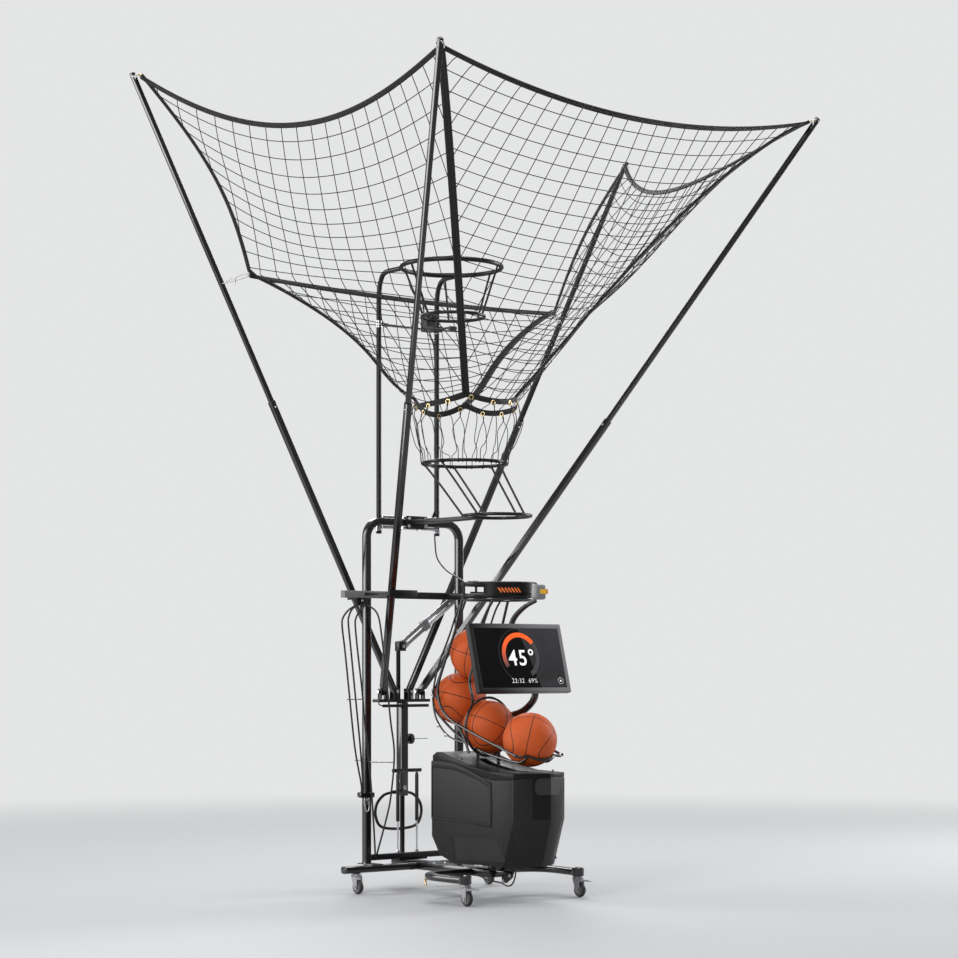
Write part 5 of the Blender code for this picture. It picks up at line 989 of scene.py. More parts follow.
def panel_strands(panel, low_s, high_s, rows, columns_at, up):
    """The knotted net of half a panel: rows at even steps of t, and columns that keep their distance from
    the middle line until they run off the panel's edge."""
    s = np.linspace(low_s, high_s, 22)
    t = (np.arange(1, rows) / rows)[:, None]
    row_paths = panel(*np.broadcast_arrays(s[None], t))
    steps = np.linspace(0, 1, 60)
    width = np.linalg.norm(panel(np.ones(60), steps) - panel(np.zeros(60), steps), axis=-1)
    least, most = (low_s - 0.5) * width[0] + 1e-6, (high_s - 0.5) * width[0] - 1e-6
    offsets = columns_at[(columns_at >= least) & (columns_at <= most)]
    ends = np.array([1.0 if 2 * abs(h) <= width[-1] else np.interp(-2 * abs(h), -width, steps)
                     for h in offsets])
    keep = ends > 0.03
    offsets, ends = offsets[keep], ends[keep]
    t = ends[:, None] * np.linspace(0, 1, 40)[None]
    s = np.clip(0.5 + offsets[:, None] / np.interp(t, steps, width), low_s, high_s)
    return strands(row_paths, CORD_R, up) + strands(panel(s, t), CORD_R, up)


def tape(points, inward, width, thickness):
    """Webbing: a flat rounded section carried along an edge, lying from the edge inwards."""
    points, inward = np.asarray(points, float), unit(inward)
    along = unit(np.gradient(points, axis=0))
    inward = unit(inward - along * np.sum(inward * along, -1, keepdims=True))
    normal = np.cross(along, inward)
    outline = oblong(width, thickness, thickness * 0.45, 2) + [width / 2 - 0.002, 0]
    loop = np.vstack([outline, outline[:1]])
    rings = points[:, None] + inward[:, None] * loop[:, :1] + normal[:, None] * loop[:, 1:]
    first, last = (np.repeat(rings[k].mean(0)[None, None], len(loop), 1) for k in (0, -1))
    rings = np.concatenate([first, rings, last])
    return laid(rings)


def hem(panel, s, t, toward, width, thickness):
    """Folded webbing along the line (s, t) of a panel; toward is a small step into the panel in (s, t)."""
    points = panel(s, t)
    inner = panel(np.clip(s + toward[0], 0, 1), np.clip(t + toward[1], 0, 1))
    return tape(points, inner - points, width, thickness)


PANELS = [
    ("net_front", "left", front_panel, 0.0, 0.5, 23, "front_left_pole"),
    ("net_front", "right", front_panel, 0.5, 1.0, 23, "front_right_pole"),
    ("net_left", "front", left_panel, 0.0, 0.5, 22, "front_left_pole"),
    ("net_left", "rear", left_panel, 0.5, 1.0, 22, "rear_left_pole"),
    ("net_right", "front", side_panel, 0.0, 0.5, 22, "front_right_pole"),
    ("net_right", "rear", side_panel, 0.5, 1.0, 22, "rear_right_pole"),
    ("net_rear", "left", rear_panel, 0.0, 0.5, 9, "rear_left_pole"),
    ("net_rear", "right", rear_panel, 0.5, 1.0, 9, "rear_right_pole"),
]
for node, half, panel, low_s, high_s, rows, pole in PANELS:
    edge = low_s if low_s == 0.0 else 1.0
    one = np.array([0.5, 0.5, edge, edge])
    span = panel(one, np.array([0.0, 1.0, 1.0, 0.0]))
    outward = np.cross(span[0] - span[1], span[2] - span[1])
    reach = float(np.dot(span[3] - span[1], unit(outward)))
    if half == "rear":
        reach = min(reach, float(np.dot(STRAP_CORNER * [np.sign(span[3][0]), 1, 1] - span[1],
                                        unit(outward))))
    shift = np.array([0, CENTRE_Y, 0])
    hold = ("mast", pole, tuple(span[1] - shift), tuple(span[1] + unit(outward) * reach - shift))
    up = np.cross(span[3] - span[0], span[1] - span[0])
    columns = MESH_CELL * (np.arange(-14, 14) + 0.5)
    shapes = panel_strands(panel, low_s, high_s, rows, columns, unit(up))
    make_piece(f"{node}_{half}_cords", shapes, NET, hold, node, smooth=80, outward=False)
    s = np.linspace(low_s, high_s, 40)
    bands = [hem(panel, s, np.zeros(40), (0, 0.02), TAPE_W, 0.010)]
    t = np.linspace(0, 1, 50)
    inward = 0.02 if edge == 0.0 else -0.02
    bands.append(hem(panel, np.full(50, edge), t, (inward, 0), 0.019, 0.012))
    make_piece(f"{node}_{half}_webbing", bands, TAPE, hold)

# Collar with eyelets, and the slack laces down to the funnel ring
angle = TAU * np.arange(96) / 96
collar_line = np.stack([COLLAR_R * np.cos(angle), COLLAR_Y + COLLAR_R * np.sin(angle),
                        collar_height(angle)], -1)
band = sweep(collar_line, oblong(0.0026, 0.026, 0.0012, 2), closed=True)
make_piece("net_collar_webbing", band, TAPE, "mast", "net_collar")
EYELETS = 14
FUNNEL_Y, FUNNEL_Z, FUNNEL_R = 0.348, 1.977, 0.190
LOOP_Y, LOOP_Z, LOOP_R = 0.114, 1.724, 0.153
eyelets, laces = [], []
spread = np.random.default_rng(7)
for k in range(EYELETS):
    a = TAU * (k + 0.25) / EYELETS
    out = np.array([math.cos(a), math.sin(a), 0])
    place = np.array([0, COLLAR_Y, float(collar_height(a)) - 0.008]) + out * (COLLAR_R + 0.001)
    side = np.array([-out[1], out[0], 0])
    eyelets.append(tube(hoop_line(place, 0.0094, 20, side, (0, 0, 1)), 0.0031, 8, up=out, closed=True))
    for pull in (-1, 1):
        low = a + pull * (0.10 + 0.16 * spread.random())
        foot = np.array([FUNNEL_R * math.cos(low), FUNNEL_Y + FUNNEL_R * math.sin(low), FUNNEL_Z])
        foot_out = np.array([math.cos(low), math.sin(low), 0])
        sway = 0.010 + 0.034 * spread.random()
        drift = 0.030 * (spread.random() - 0.5)
        laces.append(tube(through([
            place + out * 0.004, place + out * 0.010 + [0, 0, -0.03],
            mixed(place, foot, np.array(0.32)) + out * sway + side * (pull * 0.012 + drift),
            mixed(place, foot, np.array(0.68)) + out * (sway * 0.7) - side * drift,
            foot + foot_out * 0.016 + [0, 0, 0.05], foot + foot_out * 0.0105, foot + [0, 0, -0.0105],
            foot - foot_out * 0.0105 + [0, 0, 0.002]], 6),
            0.0018, 6, up=(0.3, 0.2, 0.01)))
make_piece("net_collar_eyelets", eyelets, BRASS, "mast")
lace_hold = ("base", "mast", (0, FUNNEL_Y - CENTRE_Y, 1.985), (0, FUNNEL_Y - CENTRE_Y, 2.245))
make_piece("net_laces", laces, NET, lace_hold, "lacing_cord", smooth=80)


def tie_loops(place, towards, count, seed):
    """White cord wound between a net corner and its pole: flattened loops, a knot and two loose ends."""
    place, towards = np.asarray(place, float), np.asarray(towards, float)
    way = unit(towards - place)
    side = unit(np.cross(way, [0.1, 0.2, 1]))
    rise = np.cross(side, way)
    reach = np.linalg.norm(towards - place)
    turns = []
    jitter = np.random.default_rng(seed)
    for k in range(count):
        angle = TAU * np.arange(20) / 20
        lean = (jitter.random() - 0.5) * 0.010
        middle = (place + towards) / 2 + side * lean
        wide = np.cos(angle)[:, None] * way * (reach / 2 + 0.004)
        tall = np.sin(angle)[:, None] * rise * (0.006 + 0.002 * k)
        line = middle + wide + tall
        line += np.sin(2 * angle)[:, None] * side * 0.006
        turns.append(tube(line, 0.0018, 8, up=side, closed=True))
    knot = (place + towards) / 2
    turns.append(block(knot, (0.012, 0.010, 0.010), 0.004))
    for bend in (-1, 1):
        turns.append(tube(through([knot, knot + side * bend * 0.012 - [0, 0, 0.004],
                                   knot + side * bend * 0.016 - [0, 0, 0.022]], 6), 0.0018, 8, up=way))
    return turns


for place, sign in (("front_left", -1), ("front_right", 1), ("rear_left", -1), ("rear_right", 1)):
    corner_at, tip = (FRONT_CORNER, FRONT_TIP) if place.startswith("front") else (REAR_CORNER, REAR_TIP)
    corner_at, tip = corner_at * [sign, 1, 1], tip * [sign, 1, 1]
    pole = place + "_pole"
    make_piece(place + "_corner_tie", tie_loops(corner_at, tip - [0, 0, 0.012], 2, 3 + sign), WHITE_CORD,
               pole)
    ring_up = unit(tip - corner_at)
    ring_line = hoop_line(corner_at, 0.011, 28, unit(np.cross(ring_up, [0, 0, 1])), ring_up)
    make_piece(place + "_corner_ring", tube(ring_line, 0.0026, 10, up=(0.1, 0.2, 1), closed=True), BRASS,
               pole)
    foot = np.array([sign * (0.110 if place.startswith("front") else 0.042), PIVOT_Y, HUB_Z])
    way = unit(tip - foot)
    cap = rod(tip - way * 0.004, tip + way * 0.003, 0.0095)
    make_piece(place + "_pole_cap", cap, PLASTIC, pole)
    hinge = np.array([0, 1.0, 0]) if place.startswith("front") else np.array([1.0, 0, 0])
    flat = unit(hinge - way * np.dot(hinge, way))
    face = np.cross(flat, way)
    face = face if np.dot(face, (-0.62, -0.78, 0)) > 0 else -face
    step = POLE_STEP * np.linalg.norm(tip - foot) - 0.030
    snap = foot + way * step + face * POLE_HALF
    make_piece(place + "_pole_snap_button",
               lathe([(0, 0), (0.0050, 0), (0.0050, 0.0020), (0.0035, 0.0038), (0, 0.0042)], snap, face,
                     20),
               STEEL_BRIGHT, pole)
    holes = [ring(0, 0.0048, 0, 0.0005, foot + way * (step - 0.12 * k) + face * POLE_HALF, face, 20)
             for k in (1, 2)]
    make_piece(place + "_pole_holes", holes, DARK_CAVITY, pole)
    if place.startswith("rear"):
        strap_at = STRAP_CORNER * [sign, 1, 1]
        on_pole = foot + way * np.dot(strap_at + [sign * 0.02, 0.012, 0] - foot, way)
        make_piece(place + "_strap_tie", tie_loops(strap_at, on_pole, 2, 11 + sign), WHITE_CORD, pole)

# Make ring and sensor
SENSOR_Y, SENSOR_HALF = 0.784, 0.171
MAKE_Y, MAKE_Z, MAKE_R = 0.450, 2.891, 0.232
MAKE_LOW_Y, MAKE_LOW_Z, MAKE_LOW_R = 0.437, 2.661, 0.1445
ring_shapes = []
for side in (-1, 1):
    x = side * SENSOR_HALF
    curve = through([(x, SENSOR_Y, 2.79), (x, SENSOR_Y - 0.014, 2.850), (x, 0.730, MAKE_Z - 0.004),
                     (x * 0.97, 0.612, MAKE_Z)], 10)
    ring_shapes.append(tube(np.vstack([[(x, SENSOR_Y, 1.672), (x, SENSOR_Y, 2.2), (x, SENSOR_Y, 2.6)],
                                       curve]), 0.012, 18, up=(1, 0, 0)))
    ring_shapes.append(rod((x, SENSOR_Y, 1.668), (x, SENSOR_Y, 1.680), 0.0135))
ring_shapes.append(tube(hoop_line((0, MAKE_Y, MAKE_Z), MAKE_R, 96), 0.011, 16, closed=True))
ring_shapes.append(tube(hoop_line((0, MAKE_LOW_Y, MAKE_LOW_Z), MAKE_LOW_R, 80), 0.008, 14, closed=True))
for k in range(6):
    a = math.radians(60 * k)
    high = (MAKE_R * math.cos(a), MAKE_Y + MAKE_R * math.sin(a), MAKE_Z)
    low = (MAKE_LOW_R * math.cos(a), MAKE_LOW_Y + MAKE_LOW_R * math.sin(a), MAKE_LOW_Z)
    ring_shapes.append(rod(high, low, 0.005))
ring_shapes.append(block((0, SENSOR_Y - 0.00725, 1.722), (2 * SENSOR_HALF, 0.0365, 0.020), 0.002))
ring_shapes.append(plate([(-0.020, -0.035), (0.020, -0.035), (0.020, 0.035), (0.014, 0.035)], -0.005,
                         0.005, (0.150, SENSOR_Y, 1.765), (1, 0, 0), (0, 0, 1), 0.001))
make_piece("make_ring_frame_coated", ring_shapes, SATIN, "base", "make_ring_frame")
bright_bar = [rod((-SENSOR_HALF + 0.010, SENSOR_Y, 2.650), (SENSOR_HALF - 0.010, SENSOR_Y, 2.650), 0.0072),
              ring(0, 0.013, 0, 0.024, (-0.150, SENSOR_Y, 2.650), (1, 0, 0), 28)]
for side in (-1, 1):
    bright_bar.append(ring(0.0122, 0.0152, -0.016, 0.016, (side * SENSOR_HALF, SENSOR_Y, 2.650), (0, 0, 1),
                           28))
    bright_bar.append(bolt((side * SENSOR_HALF, SENSOR_Y - 0.0150, 2.650), (0, -1, 0), 0.0048, 0.004))
    bright_bar.append(ring(0.0122, 0.0150, -0.020, 0.004, (side * SENSOR_HALF, SENSOR_Y, 1.700), (0, 0, 1),
                           28))
for low, high in ((-0.166, -0.073), (-0.044, 0.051), (0.085, 0.160)):
    for z, flip in ((1.7475, 1), (1.6985, -1)):
        bright_bar.append(block(((low + high) / 2, SENSOR_Y - 0.00725, z), (high - low, 0.0370, 0.0110),
                                0.0020))
        bright_bar.append(bolt((high - 0.010, SENSOR_Y - 0.0150, z + flip * 0.0055), (0, 0, flip), 0.0046,
                               0.004))
make_piece("sensor_cross_bar", bright_bar, STEEL_BRIGHT, "base")
eased("sensor_box", PLASTIC, "base", 0.0015, 2)
eased("sensor_paddle", PLASTIC, "paddle", 0.0010, 2)
CABLE_Y = 0.8005
CABLE = [(0.0, 0.6480, 2.665), (0.0, 0.6570, 2.666), (0.004, 0.672, 2.760), (0.020, 0.725, 2.822),
         (0.055, 0.778, 2.795), (0.100, 0.797, 2.720), (0.148, CABLE_Y, 2.620),
         (SENSOR_HALF, CABLE_Y, 2.520), (SENSOR_HALF + 0.001, CABLE_Y, 2.100),
         (SENSOR_HALF + 0.001, CABLE_Y, 1.700), (SENSOR_HALF - 0.006, 0.790, 1.640),
         (0.140, 0.740, 1.560), (0.115, 0.640, 1.500), (0.070, 0.500, 1.462), (0.020, 0.390, 1.440),
         (0.0, 0.350, 1.430), (0.0, 0.3139, 1.424)]
cable_line = np.vstack([CABLE[:1], through(CABLE[1:], 8)])
cable = make_piece("sensor_cable_sheath", tube(cable_line, 0.0035, 12, up=(1, 0, 0.001)), RUBBER_CORD,
                   ("base", "launcher", (0.12, 0.66, 1.52), (0.0, 0.31, 1.424)),
                   "sensor_cable")
CLIPS_Z = (1.78, 2.0, 2.22, 2.44)
clips = [ring(0.0122, 0.0142, -0.004, 0.004, (SENSOR_HALF, SENSOR_Y, z), (0, 0, 1), 24) for z in CLIPS_Z]
clips += [ring(0.0036, 0.0052, -0.004, 0.004, (SENSOR_HALF + 0.001, CABLE_Y, z), (0, 0, 1), 20)
          for z in CLIPS_Z]
make_piece("sensor_cable_clips", clips, PLASTIC, "base")

# Funnel frame
funnel_shapes = [tube(hoop_line((0, FUNNEL_Y, FUNNEL_Z), FUNNEL_R, 88), 0.008, 14, closed=True),
                 tube(hoop_line((0, LOOP_Y, LOOP_Z), LOOP_R, 80), 0.008, 14, closed=True)]
for degrees in (12, 68, 140, 197, 285):
    a = math.radians(degrees)
    high = np.array([FUNNEL_R * math.cos(a), FUNNEL_Y + FUNNEL_R * math.sin(a), FUNNEL_Z])
    low = np.array([LOOP_R * math.cos(a), LOOP_Y + LOOP_R * math.sin(a), LOOP_Z])
    middle = high + (low - high) * 0.45 + [0, 0.018, 0.020]
    funnel_shapes.append(tube(through([high, middle, low], 10), 0.005, 12))
arm_top = rounded([(-0.045, 0.722), (-0.020, 0.262), (0.020, 0.262), (0.045, 0.722)], 0.004)
funnel_shapes.append(plate(arm_top, 1.7155, 1.7335, edge=0.003))
funnel_shapes.append(block((0, UPRIGHT_Y - 0.024, 1.722), (0.120, 0.0125, 0.062), 0.002))
funnel_shapes.append(block((0.030, UPRIGHT_Y - 0.010, UPRIGHT_TOP + 0.0208), (0.034, 0.040, 0.007), 0.0015))
funnel_shapes.append(block((0.030, UPRIGHT_Y - 0.010, UPRIGHT_TOP - 0.0208), (0.034, 0.040, 0.007), 0.0015))
make_piece("funnel_frame_coated", funnel_shapes, SATIN, "base", "funnel_frame")
clamp_bolts = [bolt((x, UPRIGHT_Y - 0.0303, z), (0, -1, 0), 0.006, 0.005)
               for x in (-0.048, 0.048) for z in (1.705, 1.739)]
make_piece("funnel_clamp_screws", clamp_bolts, STEEL_BRIGHT, "base")

# Basket
BASKET_Y, BASKET_R, LOW_Z, HIGH_Z = 0.100, 0.165, 1.360, 1.415
basket_shapes = [tube(hoop_line((0, BASKET_Y, z), BASKET_R, 84), 0.008, 14, closed=True)
                 for z in (LOW_Z, HIGH_Z)]
for degrees in (20, 90, 160):
    a = math.radians(degrees)
    foot = (BASKET_R * math.cos(a), BASKET_Y + BASKET_R * math.sin(a))
    basket_shapes.append(rod((*foot, LOW_Z), (*foot, HIGH_Z), 0.006))
a = np.radians(np.linspace(208, 332, 46))
band_line = np.stack([(BASKET_R + 0.0068) * np.cos(a), BASKET_Y + (BASKET_R + 0.0068) * np.sin(a),
                      np.full(46, (LOW_Z + HIGH_Z) / 2)], -1)
taper = np.interp(np.linspace(0, 1, 46), [0, 0.06, 0.94, 1], [0.55, 1, 1, 0.55])
band_shape = sweep(band_line, oblong(0.0052, 0.060, 0.0010, 1), scale=taper)
basket_shapes.append(block((0, 0.288, 1.424), (0.026, 0.050, 0.024), 0.002))
basket_shapes.append(block((0, -0.112, 1.368), (0.014, 0.090, 0.014), 0.002))
make_piece("basket_loop_coated", basket_shapes, SATIN, "launcher", "basket_loop")
make_piece("basket_band_plate", band_shape, COVER, "launcher", smooth=25)
stripes = []
for k in range(7):
    mid = math.radians(232.5 + 4.9 * k)
    r = BASKET_R + 0.0100
    lift = np.linspace(-0.0102, 0.0102, 8) - 0.0035
    spin = mid - (lift + 0.0035) * 4.4
    line = np.stack([r * np.cos(spin), BASKET_Y + r * np.sin(spin), (LOW_Z + HIGH_Z) / 2 + lift], -1)
    stripes.append(sweep(line, oblong(0.0068, 0.0008, 0.0003, 2), up=(math.cos(mid), math.sin(mid), 0)))
make_piece("basket_band_stripes", stripes, ORANGE, "launcher")
eased("tip_housing", TIP_GREY, "launcher", 0.006, 3)
tip_label = plate(oblong(0.046, 0.021, 0.003), 0, 0.0006, (0.013, -0.1998, 1.3755), (1, 0, 0), (0, 0, 1))
make_piece("tip_housing_label", tip_label, YELLOW, "launcher")
tip_corner = plate([(0.0, -0.0105), (0.0115, -0.0105), (0.0115, 0.0105), (0.004, 0.0105)], 0, 0.0009,
                   (0.0242, -0.1998, 1.3755), (1, 0, 0), (0, 0, 1))
make_piece("tip_housing_label_corner", tip_corner, ORANGE, "launcher")

# Ball chute
BALL_R, RAIL_R, RAIL_X = 0.1205, 0.006, 0.075
BALLS = [(0.262, 1.1048), (0.383, 0.896), (0.172, 0.770), (-0.119, 0.720)]
REACH = math.sqrt((BALL_R + RAIL_R - 0.0001) ** 2 - RAIL_X**2)
HOOP_R = BALL_R + RAIL_R + 0.0055
HOOP_Y, HOOP_Z = BALLS[2][0] + 0.004, BALLS[2][1] + 0.002
CHUTE_TOP = LOW_Z - 0.008 - 0.0003 - RAIL_R


def around(index, degrees, half_turn=0.0):
    """Where a rail lies about a ball at an angle; a bend's corner lies further out by its half turn."""
    y, z = BALLS[index]
    far = REACH / math.cos(math.radians(half_turn))
    return (y + far * math.cos(math.radians(degrees)), z + far * math.sin(math.radians(degrees)))


def top_point(x, front=False):
    """Where a rod at x starts under the basket's rear or front half."""
    far = math.sqrt(BASKET_R**2 - x**2)
    return (BASKET_Y + (-far if front else far), CHUTE_TOP)


def on_hoop(x, upper):
    """A point at x on the upright hoop round the third ball."""
    rise = math.sqrt(HOOP_R**2 - x**2)
    return (HOOP_Y, HOOP_Z + (rise if upper else -rise))


RODS = [
    (RAIL_X, RAIL_R, [top_point(RAIL_X), (0.290, 1.270), around(0, 30), around(1, 15, 15),
                      around(1, -14.5, 15), around(1, -44.2, 15),
                      around(2, -69.5, 10.5), around(3, -95, 15), around(3, -125, 15), around(3, -140)]),
    (0.133, 0.0065, [top_point(0.133), (0.222, 1.280), (0.250, 1.202), (0.338, 1.047), (0.382, 0.950),
                     (0.374, 0.885), (0.325, 0.822),
                     (0.245, 0.789), (0.200, 0.750), (0.165, 0.690), (0.150, 0.655)]),
    (0.110, 0.0045, [top_point(0.110), (0.265, 1.300), (0.320, 1.184), (0.404, 1.057), (0.446, 0.935),
                     (0.444, 0.855), (0.412, 0.787),
                     (0.335, 0.725), (0.240, 0.704), on_hoop(0.110, False)]),
    (0.132, 0.006, [(0.236, 0.784), (0.080, 0.732), (-0.100, 0.678), (-0.180, 0.653)]),
]
chute_shapes = []
for side in (-1, 1):
    for x, radius, points in RODS:
        chute_shapes.append(tube(bent([(side * x, y, z) for y, z in points], 8), radius, 14, up=(1, 0, 0)))
GUARD_WIRE = [top_point(0.120, True), (0.030, 1.300), (0.100, 1.200), (0.128, 1.120), (0.130, 1.056),
              (0.169, 0.975), (0.135, 0.905)]
wire_line = bent([(-0.120, y, z) for y, z in GUARD_WIRE] + [(-0.095, *on_hoop(0.095, True))], 8)
chute_shapes.append(tube(wire_line, 0.0065, 14, up=(1, 0, 0)))
GUARD_TUBE = [(-0.0132, 1.3392), (0.060, 1.318), (0.150, 1.262), (0.168, 1.190), (0.130, 1.090),
              (0.050, 1.000), (-0.010, 0.945),
              (-0.012, 0.900), (0.054, 0.849), (0.120, 0.828), on_hoop(0.120, True)]
guard_line = bent([(0.120, y, z) for y, z in GUARD_TUBE], 10)
down = lengths(guard_line, 0)
swell = np.interp(down / down[-1], [0.0, 0.12, 0.40, 0.90, 1.0], [0.75, 0.95, 1.33, 1.33, 1.05])
chute_shapes.append(tube(guard_line, 0.012, 20, up=(1, 0, 0), scale=swell))
for end in ((-0.120, 0.1295, 1.070), (0.120, 0.113, 1.070)):
    chute_shapes.append(rod((math.copysign(0.078, end[0]), 0.084, 1.070), end, 0.0065))
chute_shapes.append(tube(hoop_line((0, HOOP_Y, HOOP_Z), HOOP_R, 72, (1, 0, 0), (0, 0, 1)), 0.006, 14,
                         up=(0, 1, 0), closed=True))
a = np.radians(np.linspace(-90, 90, 41))
out = HOOP_R * np.cos(a)
saddle_line = np.stack([HOOP_R * np.sin(a), BALLS[1][0] + out * math.cos(math.radians(30)),
                        BALLS[1][1] + out * 0.5], -1)
chute_shapes.append(tube(saddle_line, 0.0055, 14, up=(0, 0.5, -0.866)))
loop_out = BALL_R + RAIL_R + 0.0025
front_x = np.array([-0.076, -0.040, 0.0, 0.040, 0.076])
far = np.sqrt(loop_out**2 - front_x**2)
front_points = np.stack([front_x, BALLS[3][0] + far * math.cos(math.radians(-138)),
                         BALLS[3][1] + far * math.sin(math.radians(-138))], -1)
loop_ends = np.array([(-0.132, -0.172, 0.6555), (-0.114, -0.192, 0.648)])
front_line = np.vstack([loop_ends, front_points, loop_ends[::-1] * [-1, 1, 1]])
chute_shapes.append(tube(through(front_line, 8), 0.006, 14))
chute_shapes.append(rod((-0.082, 0.084, 1.070), (0.082, 0.084, 1.070), 0.007))
chute_shapes.append(tube(hoop_line((0, BASKET_Y, CHUTE_TOP), BASKET_R, 84), RAIL_R, 14, closed=True))
for side in (-1, 1):
    chute_shapes.append(rod((side * 0.060, HOOP_Y, 0.6142), (side * 0.060, HOOP_Y, 0.658), 0.008))
    for y, z in ((-0.180, 0.653), (0.236, 0.784)):
        chute_shapes.append(block((side * 0.132, y, z), (0.014, 0.016, 0.014), 0.004))
make_piece("chute_rails_coated", chute_shapes, GLOSS, "launcher", "chute_rails")
fixings = []
for side in (-1, 1):
    for y, z in ((0.444, 0.915), (0.402, 0.772), (0.345, 0.730)):
        fixings.append(bolt((side * 0.1145, y, z), (side, 0, 0), 0.0062, 0.005))
make_piece("chute_rod_screws", fixings, STEEL_BRIGHT, "launcher")


SEAM_W = 0.017
LOOP_SHAPE, LOOP_SLOPE = (0.60, 0.87), (0.36, 0.757)


def seam_distance(p):
    """How far a point of the unit ball is from the nearest seam: two great circles and two side loops."""
    x, y, z = p[..., 0], p[..., 1], p[..., 2]
    loops = (y / LOOP_SHAPE[0]) ** 2 + (z / LOOP_SHAPE[1]) ** 2 - 1
    slope = 2 * np.sqrt((y / LOOP_SLOPE[0]) ** 2 + (z / LOOP_SLOPE[1]) ** 2) + 1e-6
    return np.minimum(np.minimum(np.abs(x), np.abs(z)), np.abs(loops) / slope)


def ball_material(name, centre, angles):
    """Pebbled orange rubber with black seams, the seams found from the place on the ball."""
    material, dress, add, calc, mix, _ = principled(name, specular=0.3)
    skin = add("Group", enumerate([(0.60, 0.100, 0.014), (0.44, 0.062, 0.008), 330.0, 0.55, 0.60]),
               node_tree=PEBBLE)
    spot = add("Mapping", {"Vector": add("TexCoord")["Object"], "Location": centre, "Rotation": angles,
                           "Scale": (BALL_R, BALL_R, BALL_R)}, vector_type="TEXTURE")[0]
    x, y, z = add("SeparateXYZ", {0: spot})

    def squares(wide, tall):
        scaled = [calc("MULTIPLY", value, 1 / size) for value, size in ((y, wide), (z, tall))]
        return calc("ADD", *(calc("MULTIPLY", value, value) for value in scaled))

    loops = calc("ABSOLUTE", calc("SUBTRACT", squares(*LOOP_SHAPE), 1.0))
    slope = calc("MULTIPLY", calc("POWER", squares(*LOOP_SLOPE), 0.5), 2.0)
    circles = calc("MINIMUM", calc("ABSOLUTE", x), calc("ABSOLUTE", z))
    near = calc("MINIMUM", circles, calc("DIVIDE", loops, slope))
    seam = add("MapRange", {0: near, 1: SEAM_W * 0.72, 2: SEAM_W * 0.95})[0]
    dress({"Base Color": mix(seam, (0.020, 0.014, 0.012), skin["Color"]), "Roughness": skin["Roughness"],
           "Normal": skin["Normal"]})
    return material


BALL_TURNS = [(-3.119, 0.275, -1.056), (0.809, -1.276, -0.301), (-0.426, -0.256, -2.193),
              (2.101, 0.208, -0.754)]
for number, ((y, z), angles) in enumerate(zip(BALLS, BALL_TURNS), 1):
    theta = np.linspace(0, np.pi, 121)[:, None]
    phi = np.linspace(0, TAU, 241)[None]
    local = np.stack([np.sin(theta) * np.cos(phi), np.sin(theta) * np.sin(phi), np.cos(theta) + 0 * phi],
                     -1)
    dip = 0.0016 * np.exp(-((seam_distance(local) / (SEAM_W * 0.8)) ** 2))
    turned = (local * (BALL_R - dip)[..., None]) @ np.array(Euler(angles).to_matrix()).T
    shape = surface(turned + [0, y, z], np.stack(np.broadcast_arrays(phi * BALL_R, theta * BALL_R), -1))
    skin = ball_material(f"ball_{number}_rubber", (0, y - CENTRE_Y, z), angles)
    make_piece(f"ball_{number}_seamed", shape, skin, f"ball_{number}", f"ball_{number}",
               smooth=70)

# Launcher housing
eased("housing_shell", HOUSING, "launcher", 0.004, 3)
eased("front_cover", HOUSING, "launcher", 0.004, 3)
eased("top_cover", COVER, "launcher", 0.005, 3)
eased("launch_arm", STEEL_BRIGHT, "arm", 0.001, 2)
BODY_X = 0.147
trims, panels, screws, shadows = [], [], [], []
PANEL_TOP = [(0.404, 0.614), (0.339, 0.614), (0.250, 0.608), (0.182, 0.595), (0.070, 0.563),
             (-0.030, 0.529)]
PANEL_LOW = [(-0.036, 0.425), (-0.030, 0.333), (0.150, 0.341), (0.404, 0.349)]
INNER_TOP = [(0.404, 0.582), (0.335, 0.582), (0.248, 0.578), (0.180, 0.566), (0.070, 0.540),
             (-0.012, 0.510)]
INNER_LOW = [(-0.016, 0.425), (-0.011, 0.345), (0.150, 0.353), (0.404, 0.363)]
RECESS = [(0.246, 0.276), (-0.036, 0.284), (-0.076, 0.272), (-0.132, 0.186), (0.226, 0.171)]
WEDGE = [(0.272, 0.276), (0.243, 0.276), (0.224, 0.171), (0.240, 0.173)]
for side in (-1, 1):
    facing = (side * BODY_X, 0, 0), (0, side, 0), (0, 0, 1)
    turned = np.array([side, 1])
    outer, inner = np.array(PANEL_TOP + PANEL_LOW) * turned, np.array(INNER_TOP + INNER_LOW) * turned
    trims.append(frame_plate(outer, inner, -0.001, 0.0042, *facing))
    panels.append(plate(rounded(np.array(RECESS) * turned, 0.006, 4), -0.001, 0.0008, *facing, 0.0004))
    shadows.append(plate(np.array(WEDGE) * turned, -0.001, 0.0016, *facing, 0.0003))
    for y, z in ((0.397, 0.317), (0.285, 0.196), (-0.103, 0.262), (0.360, 0.300)):
        screws.append(bolt((side * BODY_X, y, z), (side, 0, 0), 0.0046, 0.0020, False))
for side in (-1, 1):
    for y, z in ((0.382, 0.634), (0.182, 0.628), (-0.103, 0.580)):
        screws.append(bolt((side * (BODY_X - 0.001), y, z), (side, 0, 0), 0.0046, 0.0020, False))
make_piece("side_panel_bezels", trims, HOUSING, "launcher")
make_piece("side_panel_plates", panels, HOUSING, "launcher")
make_piece("housing_screws", screws, PLASTIC, "launcher")

# Front facets: a dark window on the left facet, and an oval grille and cooling slots mirrored about the nose
NOSE, CHEEK = np.array([0.0, -0.262, 0.370]), np.array([-0.082, -0.236, 0.370])
LOW_NOSE = np.array([0.0, -0.205, 0.163])


